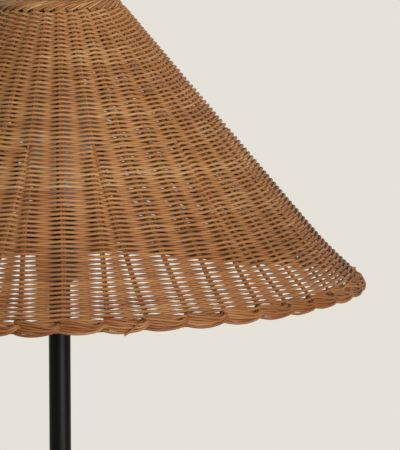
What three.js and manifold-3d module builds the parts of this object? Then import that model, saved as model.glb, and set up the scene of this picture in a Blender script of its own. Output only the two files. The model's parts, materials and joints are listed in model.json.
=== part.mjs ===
// Floor lamp with a hand-woven rattan cone shade on a slim black pole.
// Millimetres, +Z up, origin on the floor under the middle of the base. The front is towards -Y.

import * as THREE from 'three';
import { mergeVertices } from 'three/addons/utils/BufferGeometryUtils.js';
import Module from 'manifold-3d';

const wasm = await Module();
wasm.setup();

// Overall places
const rimHeight = 1260;
const shadeHeight = 240;
const seatGap = 0.3;
const cutOverrun = 2;

// Shade: a straight cone that flares a little above its rim
const shadeTopRadius = 45;
const shadeConeRadius = 251;
const flareHeight = 45;
const flareReach = 8.6;
const wallThickness = 6.4;
const ribDepth = 1.8;
const slotRows = 3;
const slotHeight = 15;
const slotSpacing = 2;
const rimBorderRise = 15.5;
const topBorderDrop = 7.5;
const shadeLeanDegrees = 1.7;

// Stakes of the shade: double canes, some of which part in two on the way down
const topStakes = 35;
const splitEvery = 3;
const splitHeight = 133;
const stakeWidth = 5;
const frontStakeDegrees = 0.8;

// Plaited borders
const rimPlaitHalfHeight = 6.4;
const rimPlaitHalfThickness = 5;
const rimPlaitDegrees = 62;
const topPlaitHalfHeight = 3.6;
const topPlaitHalfThickness = 4.2;
const topPlaitDegrees = 52;
const plaitLobeShare = 0.12;

// Carrier of the shade: a flat ring on the lampholder, three wires and a wire ring under the top
const carrierWireRadius = 2;
const topRingInset = 5.8;
const topRingDrop = 3.3;
const carrierThickness = 1.5;
const carrierRadius = 33;
const carrierWires = 3;
const carrierFootInset = 2.6;
const carrierFootRise = 5;
const carrierBendRise = 26;
const carrierTurnDegrees = 30;

// Pole
const poleRadius = 9;
const poleWall = 1.2;
const poleSections = 3;
const joinerLength = 40;
const joinerWall = 2.4;
const joinerFlange = 1.5;
const topPlugLength = 14;
const topPlugFlange = 2;

// Threaded tubes and their nuts
const nippleRadius = 5;
const nippleBoreRadius = 3.6;
const nutRadius = 8.1;
const nutHeight = 3;
const washerRadius = 10;
const washerThickness = 1.5;
const nippleStandOut = 0.6;

// Base
const plateRadius = 140;
const plateThickness = 10;
const plateEdgeRadius = 2;
const recessRadius = 24;
const recessDepth = 6;
const padThickness = 2;
const padInset = 5;
const padHoleMargin = 8;
const bossRadius = 16;
const bossHeight = 42;
const bossFloor = 9;
const bossEdge = 1.5;
const bossCavityRadius = 7.4;
const bossSeatDepth = 16;
const bushHeight = 17.5;
const bushRadius = 4.5;
const bushWall = 1;
const bushFlangeRadius = 6.2;
const bushFlange = 1.4;
const bushInnerStandOut = 0.5;
const grubRadius = 2.5;
const grubHeight = 34;
const grubInset = 0.6;
const grubSocketRadius = 1.4;
const grubSocketDepth = 3;

// Lampholder
const holderRise = 3;
const holderCapHeight = 20;
const holderCapFootRadius = 10.5;
const holderCapWall = 2;
const holderCapFloor = 6;
const holderHeight = 65;
const holderRadius = 19.5;
const holderWall = 2.2;
const shoulderHeight = 38;
const shoulderRadius = 24.5;
const shoulderThickness = 3;
const insertHeight = 12;
const insertRise = 23;
const linerRadius = 14.3;
const linerWall = 0.5;
const linerHeight = 26;
const contactThickness = 0.8;
const contactWidth = 6;
const contactReach = 3;
const contactRise = 3;
const terminalRadius = 1.75;
const terminalHeadRadius = 3;
const terminalHeadHeight = 2;
const terminalLength = 7;
const terminalSpacing = 16;
const clampHeight = 7;
const clampRadius = 27;
const clampWall = 2;
const clampFlange = 2;
const clampGrips = 12;
const clampGripDepth = 0.7;
const clampGripRadius = 0.8;

// Bulb
const bulbLength = 130;
const bulbRadius = 33;
const bulbTipRadius = 4.8;
const bulbTipHeight = 1.5;
const bulbInsulatorRadius = 9.5;
const bulbInsulatorHeight = 3.2;
const bulbCapRadius = 13.2;
const bulbCapWall = 0.5;
const bulbCapHeight = 21;
const bulbNeckRadius = 14;
const bulbHousingWall = 1.4;
const bulbGlobeWall = 1.2;
const bulbGlobeDegrees = 28;
const bulbLedge = 3.5;
const housingSweepShare = 0.6;
const ledBoardThickness = 1.6;
const driverWidth = 19;
const driverHeight = 24;
const driverThickness = 1.6;

// Numbers of facets
const roundSegments = 24;
const tubeSegments = 20;
const plateSegments = 48;
const screwSegments = 12;
const hexSides = 6;
const boreSegments = 16;
const edgeSteps = 2;
const domeSteps = 4;
const globeSteps = 8;
const housingSteps = 5;
const wireSides = 6;
const wireSteps = 20;
const topRingSteps = 32;
const plaitSteps = 3;
const rimPlaitSides = 6;
const topPlaitSides = 6;

const FULL_TURN = Math.PI * 2;
const radians = THREE.MathUtils.degToRad;

const black = { color: 0x17171a, roughness: 0.45, metalness: 0.2 };
const steel = { color: 0xb9bcc0, roughness: 0.35, metalness: 1 };
const brass = { color: 0xc9a452, roughness: 0.35, metalness: 1 };
const rattan = { color: 0xa9753f, roughness: 0.6, metalness: 0 };
const blackPlastic = { color: 0x1b1b1c, roughness: 0.55, metalness: 0 };
const paleCeramic = { color: 0xe6e2d8, roughness: 0.4, metalness: 0 };
const whitePlastic = { color: 0xececea, roughness: 0.4, metalness: 0 };
const frosted = { color: 0xf3f1ea, roughness: 0.5, metalness: 0 };
const boardGreen = { color: 0x2f5a3c, roughness: 0.6, metalness: 0 };
const rubber = { color: 0x2a2a2b, roughness: 0.9, metalness: 0 };

const lamp = new THREE.Group();

function add(name, geometry, look) {
  const mesh = new THREE.Mesh(geometry, new THREE.MeshStandardMaterial(look));
  mesh.name = name;
  lamp.add(mesh);
  return mesh;
}

// A solid of revolution about Z. The profile is [radius, height] pairs, closed on itself or by the axis.
function turned(profile, segments = roundSegments) {
  const points = profile.map(([radius, height]) => new THREE.Vector2(radius, height));
  if (THREE.ShapeUtils.area(points) < 0) points.reverse();
  const meetsAxis = points.some((point) => point.x === 0);
  if (meetsAxis) {
    while (points[0].x !== 0 || points.at(-1).x !== 0) points.push(points.shift());
  } else {
    points.push(points[0].clone());
  }
  const geometry = new THREE.LatheGeometry(points, segments);
  geometry.rotateX(Math.PI / 2);
  return geometry;
}

// A plain ring or tube between two radii and two heights
function ring(innerRadius, outerRadius, bottom, top, segments = roundSegments) {
  const profile = [
    [innerRadius, bottom],
    [outerRadius, bottom],
    [outerRadius, top],
    [innerRadius, top],
  ];
  return turned(profile, segments);
}

// Points of a rounded corner of a profile, from one angle in degrees to another
function corner(centreRadius, centreHeight, size, from, to, steps = edgeSteps) {
  const points = [];
  for (let i = 0; i <= steps; i++) {
    const angle = radians(from + ((to - from) * i) / steps);
    points.push([centreRadius + size * Math.cos(angle), centreHeight + size * Math.sin(angle)]);
  }
  return points;
}

function evenly(from, to, steps) {
  return Array.from({ length: steps + 1 }, (_, i) => from + ((to - from) * i) / steps);
}

function toManifold(geometry) {
  const bare = geometry.clone();
  bare.deleteAttribute('normal');
  bare.deleteAttribute('uv');
  const merged = mergeVertices(bare, 1e-4);
  const mesh = new wasm.Mesh({
    numProp: 3,
    vertProperties: merged.attributes.position.array,
    triVerts: new Uint32Array(merged.index.array),
  });
  return new wasm.Manifold(mesh);
}

function cut(geometry, ...tools) {
  let solid = toManifold(geometry);
  for (const tool of tools) solid = solid.subtract(toManifold(tool));
  const mesh = solid.getMesh();
  const result = new THREE.BufferGeometry();
  result.setAttribute('position', new THREE.BufferAttribute(mesh.vertProperties, 3));
  result.setIndex(new THREE.BufferAttribute(mesh.triVerts, 1));
  return result;
}

// A round bar along +Y, for holes and pieces that point to the back
function barToBack(radius, from, to, height, segments = tubeSegments) {
  const bar = new THREE.CylinderGeometry(radius, radius, to - from, segments);
  return bar.translate(0, (from + to) / 2, height);
}

// A hexagon nut about Z with a round bore
function hexNut(acrossCorners, boreRadius, bottom, height) {
  const outline = new THREE.Shape(
    evenly(0, FULL_TURN, hexSides)
      .slice(0, hexSides)
      .map((angle) => new THREE.Vector2(acrossCorners * Math.cos(angle), acrossCorners * Math.sin(angle))),
  );
  outline.holes.push(new THREE.Path().absarc(0, 0, boreRadius, 0, FULL_TURN, true));
  const options = { depth: height, bevelEnabled: false, curveSegments: boreSegments };
  const nut = new THREE.ExtrudeGeometry(outline, options);
  return nut.translate(0, 0, bottom);
}

// A ring-shaped solid from a closed section that changes round the ring
function ringSolid(columns, sectionPoints, pointAt) {
  const positions = [];
  const indices = [];
  for (let i = 0; i < columns; i++) {
    for (let k = 0; k < sectionPoints; k++) {
      positions.push(...pointAt(i, k));
      const next = (i + 1) % columns;
      const up = (k + 1) % sectionPoints;
      const a = i * sectionPoints + k;
      const b = next * sectionPoints + k;
      const c = next * sectionPoints + up;
      const d = i * sectionPoints + up;
      indices.push(a, b, c, a, c, d);
    }
  }
  const geometry = new THREE.BufferGeometry();
  geometry.setAttribute('position', new THREE.Float32BufferAttribute(positions, 3));
  geometry.setIndex(indices);
  geometry.computeVertexNormals();
  return geometry;
}

// A ring-shaped wall of cells, some of them open. pointAt gives a corner of the grid, outside or inside.
function openRing(columns, levels, pointAt, isOpen) {
  const positions = [];
  const indices = [];
  for (const inside of [false, true]) {
    for (let i = 0; i < columns; i++) {
      for (let level = 0; level < levels; level++) positions.push(...pointAt(i, level, inside));
    }
  }
  const around = (i) => (i + columns) % columns;
  const outer = ([i, level]) => around(i) * levels + level;
  const inner = (corner) => outer(corner) + columns * levels;
  const isSolid = ([i, level]) => level >= 0 && level < levels - 1 && !isOpen(around(i), level);
  const quad = (a, b, c, d) => indices.push(a, b, c, a, c, d);
  for (let i = 0; i < columns; i++) {
    for (let level = 0; level < levels - 1; level++) {
      if (!isSolid([i, level])) continue;
      const corners = [[i, level], [i + 1, level], [i + 1, level + 1], [i, level + 1]];
      const beyond = [[i, level - 1], [i + 1, level], [i, level + 1], [i - 1, level]];
      quad(...corners.map(outer));
      quad(...corners.map(inner).reverse());
      corners.forEach((from, side) => {
        const to = corners[(side + 1) % corners.length];
        if (!isSolid(beyond[side])) quad(outer(to), outer(from), inner(from), inner(to));
      });
    }
  }
  const geometry = new THREE.BufferGeometry();
  geometry.setAttribute('position', new THREE.Float32BufferAttribute(positions, 3));
  geometry.setIndex(indices);
  geometry.computeVertexNormals();
  return geometry;
}

// Base: pad, plate, washer, nut and threaded tube
const plateBottom = padThickness;
const plateTop = plateBottom + plateThickness;
const recessTop = plateBottom + recessDepth;
const washerTop = recessTop - seatGap;
const nutTop = washerTop - washerThickness - seatGap;
const nutBottom = nutTop - nutHeight;
const cavityBottom = plateTop + bossFloor;
const seatHeight = plateTop + bossHeight - bossSeatDepth;
const clearNipple = nippleRadius + seatGap;

function buildBase() {
  const padHole = recessRadius + padHoleMargin;
  add('floor_pad', ring(padHole, plateRadius - padInset, 0, padThickness, plateSegments), rubber);

  const plateProfile = [
    [clearNipple, recessTop],
    [recessRadius, recessTop],
    [recessRadius, plateBottom],
    ...corner(plateRadius - plateEdgeRadius, plateBottom + plateEdgeRadius, plateEdgeRadius, -90, 0),
    ...corner(plateRadius - plateEdgeRadius, plateTop - plateEdgeRadius, plateEdgeRadius, 0, 90),
    [clearNipple, plateTop],
  ];
  add('base_plate', turned(plateProfile, plateSegments), black);
  add('base_washer', ring(clearNipple, washerRadius, washerTop - washerThickness, washerTop), steel);
  add('base_nut', hexNut(nutRadius, clearNipple, nutBottom, nutHeight), steel);

  const nippleTop = cavityBottom + nutHeight;
  const nippleBottom = nutBottom - nippleStandOut;
  add('base_nipple', ring(nippleBoreRadius, nippleRadius, nippleBottom, nippleTop), steel);
}

// Foot of the pole: a turned boss with the cable bush and a grub screw at its back
function buildFoot() {
  const bossBottom = plateTop;
  const bossTop = plateTop + bossHeight;
  const seatRadius = poleRadius + seatGap;
  const bossProfile = [
    [clearNipple, bossBottom],
    [bossRadius, bossBottom],
    ...corner(bossRadius - bossEdge, bossTop - bossEdge, bossEdge, 0, 90),
    [seatRadius, bossTop],
    [seatRadius, seatHeight],
    [bossCavityRadius, seatHeight],
    [bossCavityRadius, cavityBottom],
    [clearNipple, cavityBottom],
  ];
  const bushAxis = plateTop + bushHeight;
  const grubAxis = plateTop + grubHeight;
  const beyond = bossRadius + cutOverrun;
  const bushHole = barToBack(bushRadius + seatGap, 0, beyond, bushAxis);
  const grubHole = barToBack(grubRadius + seatGap, 0, beyond, grubAxis);
  add('foot_boss', cut(turned(bossProfile), bushHole, grubHole), black);

  const bushFrom = bossCavityRadius - bushInnerStandOut;
  const bushTo = bossRadius + seatGap + bushFlange;
  const bushBody = [
    [bushRadius - bushWall, bushFrom],
    [bushRadius, bushFrom],
    [bushRadius, bossRadius + seatGap],
    [bushFlangeRadius, bossRadius + seatGap],
    [bushFlangeRadius, bushTo - bushFlange / 2],
    [bushFlangeRadius - bushFlange / 2, bushTo],
    [bushRadius - bushWall, bushTo],
  ];
  const bush = turned(bushBody, tubeSegments);
  bush.rotateX(-Math.PI / 2);
  bush.translate(0, 0, bushAxis);
  add('cable_bush', bush, blackPlastic);

  const grubFrom = poleRadius + seatGap;
  const grubTo = bossRadius - grubInset;
  const socketFrom = grubTo - grubSocketDepth;
  const socket = barToBack(grubSocketRadius, socketFrom, grubTo + cutOverrun, grubAxis, hexSides);
  add('foot_grub_screw', cut(barToBack(grubRadius, grubFrom, grubTo, grubAxis), socket), steel);
}

// Pole: tubes that screw together on joiners, and a plug at the top
const poleTop = rimHeight + holderRise - seatGap;
const tubeBottom = seatHeight + seatGap;
const tubeTop = poleTop - topPlugFlange - seatGap;
const joinSpace = joinerFlange + 2 * seatGap;
const sectionLength = (tubeTop - tubeBottom - (poleSections - 1) * joinSpace) / poleSections;
const joinerRadius = poleRadius - poleWall - seatGap;
const plugBottom = tubeTop - topPlugLength;

function buildPole() {
  const names = ['pole_lower', 'pole_middle', 'pole_upper'];
  const joiners = ['pole_joiner_lower', 'pole_joiner_upper'];
  for (let i = 0; i < poleSections; i++) {
    const bottom = tubeBottom + i * (sectionLength + joinSpace);
    const top = bottom + sectionLength;
    const name = names[i] ?? 'pole_section_' + (i + 1);
    add(name, ring(poleRadius - poleWall, poleRadius, bottom, top, tubeSegments), black);
    if (i === poleSections - 1) break;
    const flangeBottom = top + seatGap;
    const flangeTop = flangeBottom + joinerFlange;
    const middle = (flangeBottom + flangeTop) / 2;
    const joinerProfile = [
      [joinerRadius - joinerWall, middle - joinerLength / 2],
      [joinerRadius, middle - joinerLength / 2],
      [joinerRadius, flangeBottom],
      [poleRadius, flangeBottom],
      [poleRadius, flangeTop],
      [joinerRadius, flangeTop],
      [joinerRadius, middle + joinerLength / 2],
      [joinerRadius - joinerWall, middle + joinerLength / 2],
    ];
    add(joiners[i] ?? 'pole_joiner_' + (i + 1), turned(joinerProfile, tubeSegments), black);
  }
  const plugProfile = [
    [clearNipple, plugBottom],
    [joinerRadius, plugBottom],
    [joinerRadius, poleTop - topPlugFlange],
    [poleRadius, poleTop - topPlugFlange],
    [poleRadius, poleTop],
    [clearNipple, poleTop],
  ];
  add('pole_top_plug', turned(plugProfile, tubeSegments), black);
}

// Lampholder: cap, body with its shoulder, terminal block, contacts and threaded liner
const holderBottom = rimHeight + holderRise;
const holderTop = holderBottom + holderHeight;
const bodyBottom = holderBottom + holderCapHeight + seatGap;
const insideHolder = holderRadius - holderWall - seatGap;
const capInside = holderBottom + holderCapFloor;
const insertBottom = holderBottom + insertRise;
const insertTop = insertBottom + insertHeight;
const shoulderTop = holderBottom + shoulderHeight;
const carrierBottom = shoulderTop + seatGap;
const carrierTop = carrierBottom + carrierThickness;
const clampBottom = carrierTop + seatGap;
const linerBottom = insertTop + seatGap;
const bulbTip = insertTop + contactRise + 2 * seatGap;

function buildLampholder() {
  const nippleTop = capInside + nutHeight + seatGap + nippleStandOut;
  add('holder_nipple', ring(nippleBoreRadius, nippleRadius, plugBottom, nippleTop), steel);
  add('holder_lock_nut', hexNut(nutRadius, clearNipple, capInside + seatGap, nutHeight), steel);

  const capTop = holderBottom + holderCapHeight;
  const dome = holderRadius - holderCapFootRadius;
  const capProfile = [
    [clearNipple, holderBottom],
    [holderCapFootRadius, holderBottom],
    ...evenly(0, Math.PI / 2, domeSteps).map((angle) => [
      holderCapFootRadius + dome * Math.sin(angle),
      capTop - holderCapFloor / 2 - (holderCapHeight - holderCapFloor) * Math.cos(angle),
    ]),
    [holderRadius, capTop],
    [holderRadius - holderCapWall, capTop],
    ...evenly(Math.PI / 2, 0, domeSteps - 1).map((angle) => [
      holderCapFootRadius - holderCapWall / 2 + (dome - holderCapWall / 2) * Math.sin(angle),
      capTop - (capTop - capInside) * Math.cos(angle),
    ]),
    [clearNipple, capInside],
  ];
  add('holder_cap', turned(capProfile), blackPlastic);

  const bodyProfile = [
    [holderRadius - holderWall, bodyBottom],
    [holderRadius, bodyBottom],
    [holderRadius, shoulderTop - shoulderThickness - (shoulderRadius - holderRadius)],
    [shoulderRadius, shoulderTop - shoulderThickness],
    [shoulderRadius, shoulderTop],
    [holderRadius, shoulderTop],
    [holderRadius, holderTop - holderWall / 2],
    [holderRadius - holderWall / 2, holderTop],
    [holderRadius - holderWall, holderTop],
  ];
  add('holder_body', turned(bodyProfile), blackPlastic);

  const halfSpacing = terminalSpacing / 2;
  const holeRadius = terminalRadius + seatGap;
  const holeMiddle = insertBottom + terminalLength + seatGap - insertHeight / 2;
  const screwHole = (side) =>
    new THREE.CylinderGeometry(holeRadius, holeRadius, insertHeight, screwSegments)
      .rotateX(Math.PI / 2)
      .translate(side * halfSpacing, 0, holeMiddle);
  const insert = ring(clearNipple - terminalRadius, insideHolder, insertBottom, insertTop);
  add('terminal_block', cut(insert, screwHole(-1), screwHole(1)), paleCeramic);
  for (const side of [-1, 1]) {
    const headTop = insertBottom - seatGap;
    const screwProfile = [
      [0, headTop - terminalHeadHeight],
      [terminalHeadRadius, headTop - terminalHeadHeight],
      [terminalHeadRadius, headTop],
      [terminalRadius, headTop],
      [terminalRadius, headTop + terminalLength],
      [0, headTop + terminalLength],
    ];
    const screw = turned(screwProfile, screwSegments).translate(side * halfSpacing, 0, 0);
    add(side < 0 ? 'terminal_screw_1' : 'terminal_screw_2', screw, brass);
  }

  // The centre contact is a bent leaf that springs up under the bulb's tip
  const leaf = new THREE.Shape();
  const insideLiner = linerRadius - linerWall - seatGap;
  const fixedEnd = -Math.sqrt(insideLiner * insideLiner - (contactWidth * contactWidth) / 4);
  const leafBottom = insertTop + seatGap;
  const leafTop = leafBottom + contactRise;
  const bend = contactThickness / 2;
  leaf.moveTo(fixedEnd, leafBottom);
  leaf.lineTo(fixedEnd / 2, leafBottom);
  leaf.lineTo(-contactReach, leafTop - contactThickness);
  leaf.lineTo(contactReach, leafTop - contactThickness);
  leaf.lineTo(contactReach, leafTop);
  leaf.lineTo(-contactReach - bend, leafTop);
  leaf.lineTo(fixedEnd / 2 - bend, leafBottom + contactThickness);
  leaf.lineTo(fixedEnd, leafBottom + contactThickness);
  leaf.closePath();
  const contact = new THREE.ExtrudeGeometry(leaf, { depth: contactWidth, bevelEnabled: false });
  contact.rotateX(Math.PI / 2);
  contact.translate(0, contactWidth / 2, 0);
  add('centre_contact', contact, brass);

  const linerProfile = [
    [linerRadius - linerWall, linerBottom],
    [insideHolder, linerBottom],
    [insideHolder, linerBottom + linerWall],
    [linerRadius, linerBottom + linerWall],
    [linerRadius, linerBottom + linerHeight],
    [linerRadius - linerWall, linerBottom + linerHeight],
  ];
  add('threaded_liner', turned(linerProfile), brass);
}

// The clamp ring screws down on the shoulder's thread and holds the shade's carrier
function buildClampRing() {
  const inner = holderRadius + seatGap;
  const skirt = inner + clampWall;
  const clampTop = clampBottom + clampHeight;
  const profile = [
    [inner, clampBottom],
    [clampRadius, clampBottom],
    [clampRadius, clampBottom + clampFlange],
    [skirt + clampGripDepth, clampBottom + clampFlange],
    [skirt + clampGripDepth, clampTop],
    [inner, clampTop],
  ];
  const notchLength = clampHeight + cutOverrun;
  const notchMiddle = clampBottom + clampFlange + notchLength / 2;
  const notchReach = skirt + clampGripDepth + clampGripRadius / 4;
  const notches = evenly(0, FULL_TURN, clampGrips)
    .slice(0, clampGrips)
    .map((angle) =>
      new THREE.CylinderGeometry(clampGripRadius, clampGripRadius, notchLength, hexSides)
        .rotateX(Math.PI / 2)
        .translate(notchReach, 0, notchMiddle)
        .rotateZ(angle),
    );
  add('shade_clamp_ring', cut(turned(profile), ...notches), blackPlastic);
}

// Bulb: tip, insulator, screw cap, housing with its boards, and frosted globe
function buildBulb() {
  const tipTop = bulbTip + bulbTipHeight;
  const tipProfile = [
    [0, bulbTip],
    [bulbTipRadius / 2, bulbTip],
    [bulbTipRadius, bulbTip + bulbTipHeight / 2],
    [bulbTipRadius, tipTop],
    [0, tipTop],
  ];
  add('bulb_contact', turned(tipProfile), steel);

  const insulatorBottom = tipTop + seatGap;
  const insulatorTop = insulatorBottom + bulbInsulatorHeight;
  const insulatorProfile = [
    [0, insulatorBottom],
    [bulbTipRadius, insulatorBottom],
    [bulbInsulatorRadius, insulatorTop - bulbInsulatorHeight / 4],
    [bulbInsulatorRadius, insulatorTop],
    [0, insulatorTop],
  ];
  add('bulb_insulator', turned(insulatorProfile), blackPlastic);

  const capBottom = insulatorTop + seatGap;
  const capTop = capBottom + bulbCapHeight;
  const capProfile = [
    [bulbTipRadius, capBottom],
    [bulbInsulatorRadius, capBottom],
    [bulbCapRadius, capBottom + bulbInsulatorHeight],
    [bulbCapRadius, capTop],
    [bulbCapRadius - bulbCapWall, capTop],
    [bulbCapRadius - bulbCapWall, capBottom + bulbInsulatorHeight],
    [bulbInsulatorRadius - bulbCapWall, capBottom + bulbCapWall],
    [bulbTipRadius, capBottom + bulbCapWall],
  ];
  add('bulb_screw_cap', turned(capProfile), steel);

  const bulbTop = bulbTip + bulbLength;
  const globeCentre = bulbTop - bulbRadius;
  const lowAngle = -bulbGlobeDegrees;
  const lowRadius = bulbRadius * Math.cos(radians(lowAngle));
  const globeBottom = globeCentre + bulbRadius * Math.sin(radians(lowAngle));
  const innerGlobe = bulbRadius - bulbGlobeWall;
  const globeProfile = [
    ...corner(0, globeCentre, bulbRadius, lowAngle, 90, globeSteps).slice(0, -1),
    [0, bulbTop],
    [0, bulbTop - bulbGlobeWall],
    ...corner(0, globeCentre, innerGlobe, 90, lowAngle, globeSteps - 3).slice(1),
  ];
  add('bulb_globe', turned(globeProfile), frosted);

  // The housing sweeps from the neck up to the globe in a concave curve
  const neckBottom = capTop + seatGap;
  const neckTop = neckBottom + bulbNeckRadius / 2;
  const housingTop = globeBottom - seatGap;
  const sweep = (share) => {
    const eased = share * share * (1 + housingSweepShare * (1 - share));
    return bulbNeckRadius + (lowRadius - bulbNeckRadius) * eased;
  };
  const shares = evenly(0, 1, housingSteps);
  const outer = shares.map((share) => [sweep(share), neckTop + (housingTop - neckTop) * share]);
  const inner = outer
    .map(([radius, height]) => [radius - bulbHousingWall, height - bulbHousingWall])
    .reverse();
  const ledgeRadius = lowRadius - bulbLedge;
  const housingProfile = [
    [bulbNeckRadius, neckBottom],
    ...outer,
    [ledgeRadius, housingTop],
    [ledgeRadius, housingTop - bulbHousingWall],
    ...inner,
    [bulbNeckRadius - bulbHousingWall, neckBottom],
  ];
  add('bulb_housing', turned(housingProfile), whitePlastic);

  const boardBottom = housingTop + seatGap;
  const boardRadius = innerGlobe * Math.cos(radians(lowAngle)) - seatGap;
  add('bulb_led_board', turned([
    [0, boardBottom],
    [boardRadius, boardBottom],
    [boardRadius, boardBottom + ledBoardThickness],
    [0, boardBottom + ledBoardThickness],
  ]), whitePlastic);
  const driver = new THREE.BoxGeometry(driverWidth, driverThickness, driverHeight);
  driver.translate(0, 0, boardBottom - seatGap - driverHeight / 2);
  add('bulb_driver_board', driver, boardGreen);
}

// Outer face of the shade's wall at a height above the rim: radius, height and outward normal
const coneSlope = (shadeConeRadius - shadeTopRadius) / shadeHeight;

function wallAt(height) {
  const below = Math.max(flareHeight - height, 0) / flareHeight;
  const radius = shadeConeRadius - coneSlope * height + flareReach * below * below;
  const slope = coneSlope + (2 * flareReach * below) / flareHeight;
  const length = Math.hypot(1, slope);
  return { radius, height, out: 1 / length, up: slope / length };
}

// The shade hangs a little off level, as a hand-made one does: its right side stands higher
const lean = Math.tan(radians(shadeLeanDegrees));

function leaned(radius, angle, height) {
  const x = radius * Math.sin(angle);
  return [x, -radius * Math.cos(angle), rimHeight + height + lean * x];
}

// Angles of the stakes at a height above the rim. Every third stake of the top parts in two lower down.
const parts = (index) => index % splitEvery === 1;
const splits = Array.from({ length: topStakes }, (_, i) => i).filter(parts).length;
const rimStakes = topStakes + splits;
const frontStake = radians(frontStakeDegrees);

function stakeAngles(height, radius) {
  const spread = Math.max(splitHeight - height, 0) / splitHeight;
  const apart = stakeWidth / 2 / radius;
  const angles = [];
  for (let i = 0; i < topStakes; i++) {
    const above = frontStake + (FULL_TURN * i) / topStakes;
    for (const side of parts(i) ? [-1, 1] : [0]) {
      const below = frontStake + (FULL_TURN * angles.length) / rimStakes;
      const start = above + side * apart;
      angles.push({ angle: start + (below - start) * spread, joined: side < 0 ? 1 - spread : 0 });
    }
  }
  return angles;
}

// The woven wall: a ridge on each stake, inside and out, and a valley between two stakes.
// Rows of slots stand beside some of the stakes, on one side in one row and on the other in the next.
function buildWeave() {
  const bandHeight = (splitHeight - rimBorderRise - slotRows * slotHeight) / (slotRows + 1);
  const slotLevels = Array.from({ length: slotRows }, (_, row) => {
    const bottom = rimBorderRise + bandHeight + row * (bandHeight + slotHeight);
    return [bottom, bottom + slotHeight];
  }).flat();
  const levels = [rimBorderRise, ...slotLevels, splitHeight, shadeHeight - topBorderDrop];
  const rows = levels.map((height) => {
    const wall = wallAt(height);
    const stakes = stakeAngles(height, wall.radius);
    const columns = stakes.flatMap(({ angle, joined }, j) => {
      const next = j + 1 === stakes.length ? stakes[0].angle + FULL_TURN : stakes[j + 1].angle;
      return [
        { angle, sink: 0 },
        { angle: (angle + next) / 2, sink: ribDepth * (1 - joined) },
      ];
    });
    return { wall, columns };
  });
  const pointAt = (i, level, inside) => {
    const { wall, columns } = rows[level];
    const { angle, sink } = columns[i];
    const depth = inside ? wallThickness - sink : sink;
    return leaned(wall.radius - depth * wall.out, angle, wall.height - depth * wall.up);
  };
  const isOpen = (i, level) => {
    const row = (level - 1) / 2;
    const [stake, side] = row % 2 ? [(i + 1) / 2, 1] : [i / 2, 0];
    return level % 2 === 1 && row < slotRows && i % 2 === side && stake % slotSpacing === 0;
  };
  add('shade_weave', openRing(rimStakes * 2, levels.length, pointAt, isOpen), rattan);
}

// A plaited border: two plies that turn round each other, half a turn for each stake
function plaitedRing(stakes, sides, centre, along, halfHeight, halfThickness) {
  const columns = stakes * plaitSteps;
  return ringSolid(columns, sides, (i, k) => {
    const angle = frontStake + (FULL_TURN * i) / columns;
    const turn = (FULL_TURN * k) / sides;
    const lobe = 1 + plaitLobeShare * Math.cos(2 * turn + (FULL_TURN * i) / plaitSteps);
    const down = halfHeight * lobe * Math.cos(turn);
    const across = halfThickness * lobe * Math.sin(turn);
    const radius = centre.radius + down * along.radius - across * along.height;
    const height = centre.height + down * along.height + across * along.radius;
    return leaned(radius, angle, height);
  });
}

// Direction of a plait's long side, down and outwards, from its steepness in degrees
function plaitAlong(degrees) {
  return { radius: Math.cos(radians(degrees)), height: -Math.sin(radians(degrees)) };
}

// Middle of a plait that just clears the end of the wall, below it (side 1) or above it (side -1)
function plaitCentre(end, along, side, halfHeight, halfThickness) {
  const straight = along.radius * end.up - along.height * end.out;
  const skew = Math.sqrt(1 - Math.min(straight * straight, 1));
  const reach = Math.hypot(halfHeight * straight, halfThickness * skew) * (1 + plaitLobeShare);
  const away = (side * (reach + seatGap)) / straight;
  return {
    radius: end.radius - (wallThickness / 2) * end.out + away * along.radius,
    height: end.height - (wallThickness / 2) * end.up + away * along.height,
  };
}

const rimAlong = plaitAlong(rimPlaitDegrees);
const rimEnd = wallAt(rimBorderRise);
const rimCentre = plaitCentre(rimEnd, rimAlong, 1, rimPlaitHalfHeight, rimPlaitHalfThickness);
const topAlong = plaitAlong(topPlaitDegrees);
const topEnd = wallAt(shadeHeight - topBorderDrop);
const topCentre = plaitCentre(topEnd, topAlong, -1, topPlaitHalfHeight, topPlaitHalfThickness);

function buildBorders() {
  const rimSize = [rimPlaitHalfHeight, rimPlaitHalfThickness];
  const rimPlait = plaitedRing(rimStakes, rimPlaitSides, rimCentre, rimAlong, ...rimSize);
  add('rim_border', rimPlait, rattan);

  const topSize = [topPlaitHalfHeight, topPlaitHalfThickness];
  const topPlait = plaitedRing(topStakes, topPlaitSides, topCentre, topAlong, ...topSize);
  add('top_border', topPlait, rattan);
}

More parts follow.
